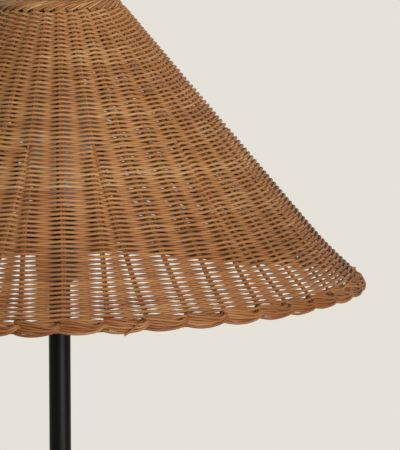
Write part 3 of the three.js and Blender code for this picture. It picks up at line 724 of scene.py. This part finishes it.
class RATTANLAMP_OT_stage(Operator):
    """Make the camera, the lights, the floor and the colour behind the lamp"""

    bl_idname = "rattan_lamp.stage"
    bl_label = "Stage"

    def execute(self, context):
        view = context.scene.rattan_view
        self.make_camera(context, view)
        self.make_lights(view)
        self.make_world(context, view, context.scene.rattan_colours.backdrop)
        self.make_floor(context.scene.rattan_colours.backdrop)
        context.scene.view_settings.view_transform = "Standard"
        return {"FINISHED"}

    def make_camera(self, context, view):
        camera = bpy.data.cameras.new("camera")
        camera.lens = view.lens
        camera.sensor_width = 36.0
        camera.clip_end = 200.0
        obj = new_object("camera", camera)
        obj.location = (0.0, -view.distance, view.height)
        obj.rotation_euler = (math.pi / 2 - view.tilt, 0.0, -view.pan)
        context.scene.camera = obj

    def make_lights(self, view):
        aim = Vector((0.0, 0.0, 1.1))
        for name, turn, rise, distance, size, tall, power in (
            ("key_light", 24.0, 12.0, 4.2, 2.2, 2.0, view.key_power),
            ("side_light", 44.0, -6.0, 4.2, 1.6, 0.9, view.key_power * 0.2),
            ("left_light", -75.0, 18.0, 4.5, 2.4, 2.4, view.key_power * 0.10),
            ("back_light", -150.0, 38.0, 4.5, 2.4, 2.4, view.key_power * 0.2),
        ):
            light = bpy.data.lights.new(name, "AREA")
            light.shape = "RECTANGLE"
            light.size = size
            light.size_y = tall
            light.energy = power
            lamp = new_object(name, light)
            turn, rise = math.radians(turn), math.radians(rise)
            away = Vector((math.sin(turn) * math.cos(rise), -math.cos(turn) * math.cos(rise), math.sin(rise)))
            lamp.location = aim + away * distance
            lamp.rotation_euler = away.to_track_quat("Z", "Y").to_euler()

    def make_world(self, context, view, backdrop):
        world = bpy.data.worlds.new("studio")
        context.scene.world = world
        world.use_nodes = True
        nodes = Nodes(world.node_tree)
        seen = self.seen(nodes)
        colour = nodes.mix(seen, (1.0, 0.985, 0.96), tuple(backdrop))
        strength = view.fill + (1.0 - view.fill) * seen
        light = nodes.add("ShaderNodeBackground", {}, {"Color": colour, "Strength": strength})
        nodes.add("ShaderNodeOutputWorld", {}, {"Surface": light})

    def seen(self, nodes):
        """1 for what the camera sees, itself or in gloss or glass"""
        kinds = ("Camera", "Glossy", "Transmission")
        camera, glossy, through = (nodes.add("ShaderNodeLightPath", {}, {}, f"Is {kind} Ray") for kind in kinds)
        return camera.math("MAXIMUM", camera, glossy.math("MAXIMUM", glossy, through))

    def make_floor(self, backdrop):
        bm = bmesh.new()
        bmesh.ops.create_circle(bm, cap_ends=True, cap_tris=False, segments=96, radius=90.0)
        floor = shaded(bm, "floor")
        material, nodes = new_material("pale_floor")
        seen = self.seen(nodes)
        grain = nodes.noise(nodes.place(), 60.0, 3.0)
        pale = nodes.mix(grain, (0.70, 0.68, 0.63), (0.74, 0.72, 0.67))
        skin = {"Base Color": nodes.mix(seen, (0.16, 0.155, 0.15), pale), "Roughness": 0.85, "Specular IOR Level": 0.1}
        matt = nodes.add("ShaderNodeBsdfPrincipled", {}, skin)
        # Far off, the floor turns into the backdrop, and it is clear from below
        away = nodes.add("ShaderNodeVectorMath", {"operation": "LENGTH"}, {0: nodes.place()}, "Value")
        flat = nodes.add("ShaderNodeEmission", {}, {"Color": (*backdrop, 1.0)})
        shown = nodes.add("ShaderNodeMixShader", {}, {0: away.clamped(0.5, 4.0) * seen, 1: matt, 2: flat})
        clear = nodes.add("ShaderNodeBsdfTransparent")
        under = nodes.add("ShaderNodeNewGeometry", {}, {}, "Backfacing")
        camera = nodes.add("ShaderNodeLightPath", {}, {}, "Is Camera Ray")
        result = nodes.add("ShaderNodeMixShader", {}, {0: under * camera, 1: shown, 2: clear})
        nodes.add("ShaderNodeOutputMaterial", {}, {"Surface": result})
        floor.data.materials.append(material)


class RATTANLAMP_OT_finishes(Operator):
    """Make the finishes, and give them to the plain pieces that stay as imported"""

    bl_idname = "rattan_lamp.finishes"
    bl_label = "Finishes"

    def execute(self, context):
        for name, make, *values in FINISHES.values():
            nodes = new_material(name)[1]
            nodes.surface(make(nodes, *values))
        for kind, names in (
            ("steel", "base_washer base_nut base_nipple holder_nipple holder_lock_nut"),
            ("brass", "terminal_screw_1 terminal_screw_2 centre_contact threaded_liner"),
            ("nickel", "bulb_contact"),
            ("pale_ceramic", "terminal_block"),
            ("black_plastic", "bulb_insulator"),
            ("board", "bulb_driver_board"),
            ("white_board", "bulb_led_board"),
        ):
            for name in names.split():
                give_finish(frame["nodes"][name].data, kind)
        return {"FINISHED"}


# Most points of a weave band, which keep it under 200,000 triangles
BAND_POINTS = 11500
# Heights above the rim: where the stakes' canes begin, and where they turn into the border
STAKES_FROM = 0.0092
RIM_STAKES_END = 0.012


class RATTANLAMP_OT_weave(Operator):
    """Wind the woven canes in and out of the stakes, row on row"""

    bl_idname = "rattan_lamp.weave"
    bl_label = "Weave"

    def execute(self, context):
        shade = context.scene.rattan_shade
        wall = Wall(shade)
        path, stake_at = self.wind(wall, shade)
        bands, size = [[]], 0
        for run in self.cut_to_canes(path, stake_at, shade):
            if size + len(run[0]) > BAND_POINTS:
                bands.append([])
                size = 0
            bands[-1].append(run)
            size += len(run[0])
        for number, band in enumerate(bands, 1):
            obj = canes(f"weave_band_{number}", band, shade.weaver, shade.sides, "Z_UP")
            finish_piece(obj, "rattan", "shade", "shade_weave")
        return {"FINISHED"}

    def wind(self, wall, shade):
        """The whole winding as one line, and the points of it that pass a stake on the inside"""
        bottom, top = (float(np.interp(h, wall.heights, wall.climb)) for h in (shade.weave_from, shade.weave_to))
        back = shade.top_stakes // 2
        first_below = wall.below.index((back, 0))
        knots = []
        turn = 0
        while bottom + shade.row_pitch * (turn + 1) <= top:
            start = bottom + shade.row_pitch * turn
            parted = float(np.interp(start, wall.climb, wall.heights)) < shade.split_height - 0.004
            total = len(wall.below) if parted else shade.top_stakes
            first = first_below if parted else back
            angle_at = wall.stake_angle if parted else wall.whole_angle
            for step in range(total):
                climb = start + shade.row_pitch * step / total
                height = float(np.interp(climb, wall.climb, wall.heights))
                angle = float(angle_at((first + step) % total, height))
                while knots and angle < knots[-1][0]:
                    angle += FULL_TURN
                knots.append((angle, climb, 1.0 if len(knots) % 2 else -1.0))
            turn += 1
        knots = np.array(knots)
        share = np.arange(shade.steps) / shade.steps
        angle, climb = (
            (knots[:-1, k, None] + np.diff(knots[:, k])[:, None] * share).ravel() for k in (0, 1)
        )
        bow = 0.9 * np.cos(math.pi * share) + 0.1 * np.cos(3 * math.pi * share)
        swing = (knots[:-1, 2, None] * bow).ravel()
        chance = np.random.default_rng(47)
        strength = np.repeat(chance.uniform(0.94, 1.04, len(knots) - 1), shade.steps)
        climb = climb + shade.row_waver * wall.undulation(angle, climb)
        own = chance.normal(0.0, 0.00005, len(knots) + 1)
        climb = climb + (own[:-2, None] * (1 - share) + own[1:-1, None] * share).ravel()
        height = np.interp(climb, wall.climb, wall.heights)
        # The lowest rows are drawn in behind the border
        drawn_in = 0.0035 * ramp(height, 0.0118, 0.0065)
        path = wall.inside(angle, height, shade.wall / 2 + drawn_in - shade.weave_depth * strength * swing)
        behind = np.flatnonzero(knots[:-1, 2] < 0) * shade.steps
        return path, behind

    def cut_to_canes(self, path, behind, shade):
        """Lengths of cane that end behind a stake, each with its own thickness and tone"""
        chance = np.random.default_rng(12)
        distance = along(path)
        runs = []
        start = 0
        while start < len(path) - 1:
            wanted = distance[start] + shade.cane_length * chance.uniform(0.7, 1.3)
            later = behind[distance[behind] > wanted]
            end = int(later[0]) if len(later) and distance[-1] - distance[later[0]] > 1.0 else len(path) - 1
            run = path[start : end + 1].copy()
            run[0] += (run[1] - run[0]) * 0.12
            run[-1] += (run[-2] - run[-1]) * 0.12
            length = along(run)
            height = run[:, 2] - shade.rim_height - math.tan(shade.lean) * run[:, 0]
            tight = ramp(height, shade.tight_from, shade.tight_from + 0.05)
            packed = 1.2 * ramp(height, 0.030, 0.016)
            # The cane lies thicker high up, where the weave is tight, and low down, packed on the border
            size = chance.uniform(0.965, 1.03) * (1 + 0.012 * np.sin(length * chance.uniform(20, 60)))
            size = size * (1 + shade.tightness * (tight + packed))
            # The cane is also darker low down, below where the weave grows tight
            tone = slow_tone(chance, length, 0.5, 0.07) - 0.28 * (1 - tight)
            runs.append((run, size, tone))
            start = end
        return runs


class RATTANLAMP_OT_stakes(Operator):
    """Stand the pairs of canes that the weave goes round"""

    bl_idname = "rattan_lamp.stakes"
    bl_label = "Stakes"

    def execute(self, context):
        shade = context.scene.rattan_shade
        wall = Wall(shade)
        chance = np.random.default_rng(94)
        low, high = STAKES_FROM, shade.height - 0.0075
        half = shade.stake_cane / 2
        runs = []
        for number, (_, side) in enumerate(wall.below):
            for lane in (-1, 1):
                # Where a stake parts, the outer cane of each half is inserted from below
                inserted = side != 0 and lane == side
                top = shade.split_height - 0.018 if inserted else high
                heights = np.arange(top, low, -0.0036)
                radius = wall.face(heights)[0]
                if side:
                    spread = ramp(heights, shade.split_height + 0.012, shade.split_height - 0.018)
                    spread = spread * spread * (3 - 2 * spread)
                    whole = wall.whole_angle(wall.below[number][0], heights) + side * half / radius
                    angle = whole + (wall.stake_angle(number, heights) + lane * half / radius - whole) * spread
                else:
                    angle = wall.stake_angle(number, heights) + lane * half / radius
                depth = shade.wall / 2 + 0.0022 * ramp(heights, 0.016, 0.008)
                path = wall.inside(angle, heights, depth)
                # The stakes' cane is set darker than the woven cane: painted shade for stakes that lie deep in the
                # wall
                tone = slow_tone(chance, along(path), 0.2, 0.1)
                runs.append((path, chance.uniform(0.97, 1.0), tone))
        obj = canes("stakes", runs, shade.stake_cane, shade.sides)
        finish_piece(obj, "rattan", "shade", "shade_weave")
        return {"FINISHED"}


# The courses of border canes: stake spacings along the border, then millimetres up its face and outwards.
# RIM_LOWEST and RIM_HIGHEST are the outer two canes of a stake's bundle.
RIM_LOWEST = (
    (-0.04, 7.2, -3.0), (-0.13, 4.2, -3.6), (-0.20, 0.2, -2.6), (-0.10, -2.9, -0.9), (0.14, -5.3, 0.6),
    (0.42, -5.9, 1.8), (0.68, -4.9, 2.7), (0.82, -2.8, 3.2), (0.90, -0.4, 2.6), (0.94, 1.0, 0.6),
    (1.00, 0.8, -1.8), (1.24, -1.2, -3.0), (1.60, -2.2, -2.6), (2.05, -2.2, -2.4),
)
RIM_HIGHEST = (
    (-0.04, 7.4, -2.6), (-0.08, 6.8, -0.6), (-0.06, 6.0, 1.2), (0.12, 5.0, 2.1), (0.32, 3.8, 2.4),
    (0.52, 2.1, 2.6), (0.67, 0.4, 2.8), (0.77, 0.6, 2.9), (0.84, 1.8, 2.4), (0.87, 3.0, 0.6),
    (0.93, 3.2, -1.8), (1.12, 4.4, -3.0), (1.50, 5.6, -3.4), (1.90, 5.0, -3.4),
)
LOOSE_END = ((-0.13, 3.4, -1.0), (-0.21, 1.4, 1.8), (-0.32, -1.6, 3.9), (-0.47, -5.6, 4.6), (-0.63, -9.2, 4.8))
TOP_COURSE = (
    (-0.25, -4.2, 0.2), (0.2, -2.6, 1.2), (0.8, -0.4, 2.4), (1.5, 1.9, 2.0),
    (2.1, 3.2, 0.2), (2.7, 2.4, -1.9), (3.3, 0.2, -2.6), (3.9, -2.0, -2.4),
)


class RATTANLAMP_OT_borders(Operator):
    """Lay each stake's canes along the rim and the top, over and behind the next ones"""

    bl_idname = "rattan_lamp.borders"
    bl_label = "Borders"

    def execute(self, context):
        shade = context.scene.rattan_shade
        borders = context.scene.rattan_borders
        wall = Wall(shade)
        self.make_rim(wall, shade, borders)
        self.make_top(wall, shade, borders)
        return {"FINISHED"}

    def laid(self, wall, border, stake, course, spacing):
        """A cane's path from its course, all in millimetres, past the stake at that angle"""
        radius, middle, slope = border
        past, rise, out = (smooth_path(course, spacing) / 1000).T
        return wall.leaned(
            radius - rise * math.cos(slope) + out * math.sin(slope),
            stake + past / radius,
            middle + rise * math.sin(slope) + out * math.cos(slope),
        )

    def make_rim(self, wall, shade, borders):
        chance = np.random.default_rng(6)
        border = borders.rim_radius, borders.rim_middle, borders.rim_slope
        width = FULL_TURN * borders.rim_radius / len(wall.below) * 1000
        lowest, highest = np.array(RIM_LOWEST), np.array(RIM_HIGHEST)
        between = highest - lowest
        # Where the canes of a bundle have no room side by side, every other one lies behind
        apart = np.hypot(between[:, 0] * width, between[:, 1]) / (borders.rim_canes - 1)
        behind = np.sqrt(np.maximum((borders.rim_cane * 1000) ** 2 - apart**2, 0.0))
        runs = []
        for number in range(len(wall.below)):
            stake = float(wall.stake_angle(number, RIM_STAKES_END))
            # The whole bundle strays from its course by some tenths of a millimetre
            shift = chance.normal(0.0, 0.22, 3)
            for index in range(borders.rim_canes):
                control = lowest + between * (index / (borders.rim_canes - 1))
                control[:, 0] *= width
                control[3:9] += shift * (1.0, 1.0, 0.6)
                control[:, 2] -= behind * (index % 2)
                path = self.laid(wall, border, stake, control + chance.normal(0.0, 0.1, control.shape), 2.4)
                tone = slow_tone(chance, along(path), 0.1, 0.14)
                runs.append((path, chance.uniform(0.94, 1.0), tone))
        # One cane's cut end has sprung out under the border
        stake = float(wall.stake_angle(borders.loose_end, RIM_STAKES_END))
        runs.append((self.laid(wall, border, stake, np.array(LOOSE_END) * (width, 1.0, 1.0), 1.6), 0.75, 0.2))
        obj = canes("rim_border_canes", runs, borders.rim_cane, shade.sides)
        finish_piece(obj, "rattan", "shade", "rim_border")

    def make_top(self, wall, shade, borders):
        chance = np.random.default_rng(9)
        border = borders.top_radius, borders.top_middle, borders.top_slope
        course = np.array(TOP_COURSE)
        course[:, 0] *= FULL_TURN * borders.top_radius / shade.top_stakes * 1000
        run_x, run_y = np.gradient(course[:, 0]), np.gradient(course[:, 1])
        size = np.hypot(run_x, run_y)
        aside = np.column_stack([-run_y / size, run_x / size, 0 * size])
        runs = []
        for number in range(shade.top_stakes):
            stake = wall.whole_angle(number, shade.height - 0.01)
            for lane in (-0.5, 0.5):
                control = course + aside * (lane * borders.top_cane * 1000)
                path = self.laid(wall, border, stake, control + chance.normal(0.0, 0.06, control.shape), 1.6)
                tone = slow_tone(chance, along(path), 0.45, 0.16)
                runs.append((path, chance.uniform(0.93, 1.0), tone))
        obj = canes("top_border_canes", runs, borders.top_cane, 6)
        finish_piece(obj, "rattan", "shade", "top_border")


class RATTANLAMP_OT_base(Operator):
    """Turn the pad and the plate that the lamp stands on"""

    bl_idname = "rattan_lamp.base"
    bl_label = "Base"

    def execute(self, context):
        body = context.scene.rattan_body
        pad = tube_outline(body.pad_hole, *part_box("floor_pad"))
        turned_piece("foam_pad", pad, "pad", "lamp", "floor_pad", body.edge, 128)
        low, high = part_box("base_plate")
        hole = body.nipple + SEAT_GAP
        roof = low.z + body.recess_depth
        plate = [
            (hole, roof), (body.recess_radius, roof), (body.recess_radius, low.z, body.edge),
            (high.x, low.z, body.plate_edge / 2), (high.x, high.z, body.plate_edge), (hole, high.z),
        ]
        turned_piece("weighted_plate", plate, "black_metal", "lamp", "base_plate", steps=160)
        return {"FINISHED"}


class RATTANLAMP_OT_foot(Operator):
    """Turn the boss at the foot of the pole, its cable bush and its grub screw"""

    bl_idname = "rattan_lamp.foot"
    bl_label = "Foot"

    def execute(self, context):
        body = context.scene.rattan_body
        low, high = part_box("foot_boss")
        bush_low, bush_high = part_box("cable_bush")
        grub_low, grub_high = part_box("foot_grub_screw")
        pole_low, pole_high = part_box("pole_lower")
        seat, pole_foot = pole_high.x + SEAT_GAP, pole_low.z - SEAT_GAP
        bush_axis = (bush_low.z + bush_high.z) / 2
        grub_axis = (grub_low.z + grub_high.z) / 2
        hole = body.nipple + SEAT_GAP
        floor = low.z + body.foot_floor
        outline = [
            (hole, low.z), (high.x, low.z, body.edge), (high.x, high.z, 0.0015), (seat, high.z, 0.0003),
            (seat, pole_foot), (body.cord_space, pole_foot), (body.cord_space, floor), (hole, floor),
        ]
        start, end = 0.001, high.x + 0.002
        bush_hole = to_back(prism_bmesh(body.bush + SEAT_GAP, start, end, 48), bush_axis)
        grub_hole = to_back(prism_bmesh(body.grub + SEAT_GAP, start, end, 32), grub_axis)
        boss = drilled("turned_boss", turned_bmesh(outline, 96), [bush_hole, grub_hole])
        finish_piece(boss, "black_metal", "lamp", "foot_boss")

        shoulder = high.x + SEAT_GAP
        sleeve = [
            (body.cable_bore, bush_low.y, 0.0003), (body.bush, bush_low.y, 0.0003), (body.bush, shoulder),
            (bush_high.x, shoulder, 0.0002), (bush_high.x, bush_high.y, 0.0007),
            (body.cable_bore, bush_high.y, 0.0005),
        ]
        obj = shaded(to_back(turned_bmesh(sleeve, 48), bush_axis), "cable_sleeve")
        finish_piece(obj, "black_plastic", "lamp", "cable_bush")

        screw = to_back(self.threaded(body.grub, grub_low.y, grub_high.y), grub_axis)
        socket = to_back(prism_bmesh(0.0014, grub_high.y - 0.003, grub_high.y + 0.001, 6), grub_axis)
        finish_piece(drilled("socket_screw", screw, [socket]), "steel", "lamp", "foot_grub_screw")
        return {"FINISHED"}

    def threaded(self, radius, bottom, top):
        """A screw's body with its ridges"""
        outline = [(0.0, bottom), (radius * 0.8, bottom)]
        height = bottom + 0.0004
        while height < top - 0.0009:
            outline += [(radius * 0.84, height), (radius, height + 0.0003), (radius * 0.84, height + 0.0006)]
            height += 0.0008
        outline += [(radius * 0.9, top - 0.0002), (radius * 0.82, top), (0.0, top)]
        return turned_bmesh(outline, 32, closed=False)


class RATTANLAMP_OT_pole(Operator):
    """Turn the pole's tubes, the joiners between them and the plug at the top"""

    bl_idname = "rattan_lamp.pole"
    bl_label = "Pole"

    def execute(self, context):
        body = context.scene.rattan_body
        for name in ("lower", "middle", "upper"):
            low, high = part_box(f"pole_{name}")
            tube = tube_outline(high.x - body.pole_wall, low, high)
            turned_piece(f"tube_{name}", tube, "black_metal", "lamp", f"pole_{name}", body.edge, 64)
        for name in ("lower", "upper"):
            low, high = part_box(f"pole_joiner_{name}")
            middle = (low.z + high.z) / 2
            core = high.x - body.pole_wall - SEAT_GAP
            inner = core - body.joiner_wall
            half = body.joiner_flange / 2
            joiner = [
                (inner, low.z, body.edge), (core, low.z, body.edge), (core, middle - half),
                (high.x, middle - half, 0.0002), (high.x, middle + half, 0.0002), (core, middle + half),
                (core, high.z, body.edge), (inner, high.z, body.edge),
            ]
            turned_piece(f"joiner_{name}", joiner, "black_metal", "lamp", f"pole_joiner_{name}", steps=64)
        low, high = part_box("pole_top_plug")
        core = high.x - body.pole_wall - SEAT_GAP
        hole = body.nipple + SEAT_GAP
        collar = high.z - body.plug_flange
        plug = [
            (hole, low.z), (core, low.z, body.edge), (core, collar), (high.x, collar, 0.0002),
            (high.x, high.z, body.edge), (hole, high.z),
        ]
        turned_piece("top_plug", plug, "black_metal", "lamp", "pole_top_plug", steps=64)
        return {"FINISHED"}


class RATTANLAMP_OT_holder(Operator):
    """Mould the lampholder's cap and threaded body, and the ring that clamps the shade"""

    bl_idname = "rattan_lamp.holder"
    bl_label = "Lampholder"

    def execute(self, context):
        self.make_cap(context.scene.rattan_body.nipple + SEAT_GAP)
        self.make_body()
        self.make_clamp_ring()
        return {"FINISHED"}

    def make_cap(self, hole):
        low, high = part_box("holder_cap")
        foot, wall, floor = 0.0105, 0.002, 0.006
        rise = high.z - low.z - floor
        turn = np.linspace(0.0, math.pi / 2, 13)
        dome = high.x - foot
        inner_foot, inner_dome = foot - wall / 2, dome - wall / 2
        outside = [(foot + dome * math.sin(t), high.z - floor / 2 - rise * math.cos(t)) for t in turn]
        inside = [(inner_foot + inner_dome * math.sin(t), high.z - rise * math.cos(t)) for t in turn[::-1]]
        outline = [
            (hole, low.z), (foot, low.z, 0.0006), *outside, (high.x, high.z, 0.0003), *inside,
            (hole, low.z + floor),
        ]
        turned_piece("domed_cap", outline, "black_plastic", "lamp", "holder_cap")

    def make_body(self):
        low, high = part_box("holder_body")
        wall, step, flange, ridge = 0.0022, 0.005, 0.003, 0.0006
        radius = high.x - step
        root = radius - ridge
        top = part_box("carrier_ring")[0].z - SEAT_GAP
        outline = [
            (radius - wall, low.z, 0.0003), (radius, low.z, 0.0003), (radius, top - flange - step, 0.001),
            (high.x, top - flange, 0.0006), (high.x, top, 0.0006), (root, top, 0.0003),
        ]
        height = top + 0.0016
        while height < high.z - 0.0034:
            outline += [(root, height), (radius, height + 0.0007), (radius, height + 0.0011), (root, height + 0.0018)]
            height += 0.003
        outline += [(root, high.z - 0.0008, 0.0006), (radius - wall, high.z, 0.0005)]
        turned_piece("threaded_body", outline, "black_plastic", "lamp", "holder_body")

    def make_clamp_ring(self):
        low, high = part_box("shade_clamp_ring")
        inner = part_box("holder_cap")[1].x + SEAT_GAP
        skirt = inner + 0.0027
        flange = low.z + 0.002
        outline = [
            (inner, low.z, 0.0003), (high.x, low.z, 0.0003), (high.x, flange, 0.0006), (skirt, flange, 0.0004),
            (skirt, high.z, 0.0006), (inner, high.z, 0.0004),
        ]
        grips, depth = 24, 0.0006
        bm = turned_bmesh(outline, 192)
        for vert in bm.verts:
            radius = math.hypot(vert.co.x, vert.co.y)
            if inner + 0.0015 < radius < skirt + 0.0002 and vert.co.z > low.z + 0.0028:
                groove = max(0.0, math.cos(grips * math.atan2(vert.co.y, vert.co.x)))
                vert.co.xy *= 1 - depth * groove / radius
        finish_piece(shaded(bm, "grip_ring", math.radians(50)), "black_plastic", "clamp_ring", "shade_clamp_ring")


class RATTANLAMP_OT_carrier(Operator):
    """Bend the wires that carry the shade, with the ring on the lampholder and the one under the border"""

    bl_idname = "rattan_lamp.carrier"
    bl_label = "Carrier"

    def execute(self, context):
        wire = context.scene.rattan_body.wire
        washer = tube_outline(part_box("holder_cap")[1].x + 2 * SEAT_GAP, *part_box("carrier_ring"))
        turned_piece("carrier_washer", washer, "black_metal", "shade", "carrier_ring", 0.0003)

        low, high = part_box("top_wire_ring")
        radius = high.x - wire
        middle = (low.z + high.z) / 2
        turns = [FULL_TURN * i / 16 for i in range(16)]
        section = [(radius + wire * math.cos(t), middle + wire * math.sin(t)) for t in turns]
        turned_piece("wire_hoop", section, "black_metal", "shade", "top_wire_ring")

        for number in (1, 2, 3):
            low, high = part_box(f"carrier_wire_{number}")
            turn = math.radians(30 + 120 * (number - 1))
            path = self.wire_path(radius, low.z, high.z, turn)
            obj = canes(f"wire_{number}", [(path, 1.0, 0.5)], wire * 2, 12)
            finish_piece(obj, "black_metal", "shade", f"carrier_wire_{number}")
        return {"FINISHED"}

    def wire_path(self, radius, bottom, top, turn):
        """Up from the washer, out in a soft bend and straight up to the hoop"""
        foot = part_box("carrier_ring")[1].x - 0.0026
        bend = bottom + 0.005
        end = bend + 0.026
        pull = 0.013
        t = np.linspace(0.0, 1.0, 18)[:, None]
        points = np.array([(foot, bend), (foot, bend + pull), (radius, end - pull), (radius, end)])
        shares = (1 - t) ** 3, 3 * (1 - t) ** 2 * t, 3 * (1 - t) * t**2, t**3
        curve = sum(share * point for share, point in zip(shares, points))
        rise = np.linspace(end, top, 12)[1:]
        line = np.vstack([(foot, bottom), curve, np.column_stack([np.full(len(rise), radius), rise])])
        return np.column_stack([line[:, 0] * math.cos(turn), line[:, 0] * math.sin(turn), line[:, 1]])


class RATTANLAMP_OT_bulb(Operator):
    """Make the bulb's threaded cap, its housing and its frosted globe"""

    bl_idname = "rattan_lamp.bulb"
    bl_label = "Bulb"

    def execute(self, context):
        self.make_cap(context.scene.rattan_body.thread_pitch)
        self.make_housing()
        self.make_globe()
        return {"FINISHED"}

    def make_cap(self, pitch):
        """The cap's thread is a true screw line, drawn by moving the turned shape's points in and out"""
        low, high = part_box("bulb_screw_cap")
        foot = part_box("bulb_insulator")[1].x
        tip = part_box("bulb_contact")[1].x
        wall, depth, fade = 0.0005, 0.0007, 0.0015
        start, end = low.z + 0.0030, high.z - 0.0022
        heights = np.linspace(low.z + 0.0032, high.z, 44).tolist()
        outline = [(tip, low.z), (foot, low.z, 0.0004)]
        outline += [(high.x, z) for z in heights]
        outline += [(high.x - wall, z) for z in heights[::-1]]
        outline += [(foot - wall, low.z + wall), (tip, low.z + wall)]
        bm = turned_bmesh(outline, 72)
        for vert in bm.verts:
            radius = math.hypot(vert.co.x, vert.co.y)
            share = ramp(vert.co.z, start, start + fade) * ramp(vert.co.z, end, end - fade)
            angle = math.atan2(vert.co.y, vert.co.x)
            ridge = 0.5 - 0.5 * math.cos(FULL_TURN * vert.co.z / pitch - angle)
            vert.co.xy *= 1 - depth * share * ridge / radius
        finish_piece(shaded(bm, "edison_cap", math.radians(60)), "nickel", "bulb", "bulb_screw_cap")

    def make_housing(self):
        low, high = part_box("bulb_housing")
        neck, wall, ledge = 0.014, 0.0014, high.x - 0.0035
        bottom = low.z + neck / 2
        share = np.linspace(0.0, 1.0, 25)
        sweep = neck + (high.x - neck) * share**2 * (1 + 0.6 * (1 - share))
        outer = list(zip(sweep.tolist(), (bottom + (high.z - bottom) * share).tolist()))
        outline = [
            (neck, low.z, 0.0004), *outer[:-1], (*outer[-1], 0.0004), (ledge, high.z), (ledge, high.z - wall),
            *((r - wall, z - wall) for r, z in outer[::-1]), (neck - wall, low.z, 0.0003),
        ]
        turned_piece("bulb_body", outline, "white_plastic", "bulb", "bulb_housing")

    def make_globe(self):
        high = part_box("bulb_globe")[1]
        wall = 0.0012
        centre = high.z - high.x
        turn = np.linspace(math.radians(-28), math.pi / 2, 34)[:-1]
        outer, inner = (
            [(radius * math.cos(t), centre + radius * math.sin(t)) for t in turn] for radius in (high.x, high.x - wall)
        )
        outline = [*outer, (0.0, high.z), (0.0, high.z - wall), *inner[::-1]]
        turned_piece("frosted_globe", outline, "frosted", "bulb", "bulb_globe")


class RATTANLAMP_PT_panel(Panel):
    """The lamp's pieces, in the order in which they are made"""

    bl_idname = "RATTANLAMP_PT_panel"
    bl_label = "Rattan Floor Lamp"
    bl_space_type = "VIEW_3D"
    bl_region_type = "UI"
    bl_category = "Rattan Lamp"

    def draw(self, context):
        for operator in OPERATORS:
            self.layout.operator(operator.bl_idname)
        for name in SETTINGS:
            group = getattr(context.scene, name)
            box = self.layout.box()
            for key in group.__annotations__:
                box.prop(group, key)


SETTINGS = {
    "rattan_shade": RattanLampShade,
    "rattan_borders": RattanLampBorders,
    "rattan_body": RattanLampBody,
    "rattan_colours": RattanLampColours,
    "rattan_view": RattanLampView,
}
OPERATORS = (
    RATTANLAMP_OT_stage,
    RATTANLAMP_OT_finishes,
    RATTANLAMP_OT_weave,
    RATTANLAMP_OT_stakes,
    RATTANLAMP_OT_borders,
    RATTANLAMP_OT_base,
    RATTANLAMP_OT_foot,
    RATTANLAMP_OT_pole,
    RATTANLAMP_OT_holder,
    RATTANLAMP_OT_carrier,
    RATTANLAMP_OT_bulb,
)
CLASSES = (*SETTINGS.values(), *OPERATORS, RATTANLAMP_PT_panel)


def register():
    for kind in CLASSES:
        bpy.utils.register_class(kind)
    for name, group in SETTINGS.items():
        setattr(bpy.types.Scene, name, PointerProperty(type=group))


def unregister():
    for name in SETTINGS:
        delattr(bpy.types.Scene, name)
    for kind in reversed(CLASSES):
        bpy.utils.unregister_class(kind)


def main():
    register()
    bpy.ops.rattan_lamp.stage()
    bpy.ops.rattan_lamp.finishes()
    bpy.ops.rattan_lamp.weave()
    bpy.ops.rattan_lamp.stakes()
    bpy.ops.rattan_lamp.borders()
    bpy.ops.rattan_lamp.base()
    bpy.ops.rattan_lamp.foot()
    bpy.ops.rattan_lamp.pole()
    bpy.ops.rattan_lamp.holder()
    bpy.ops.rattan_lamp.carrier()
    bpy.ops.rattan_lamp.bulb()


if __name__ == "__main__":
    main()
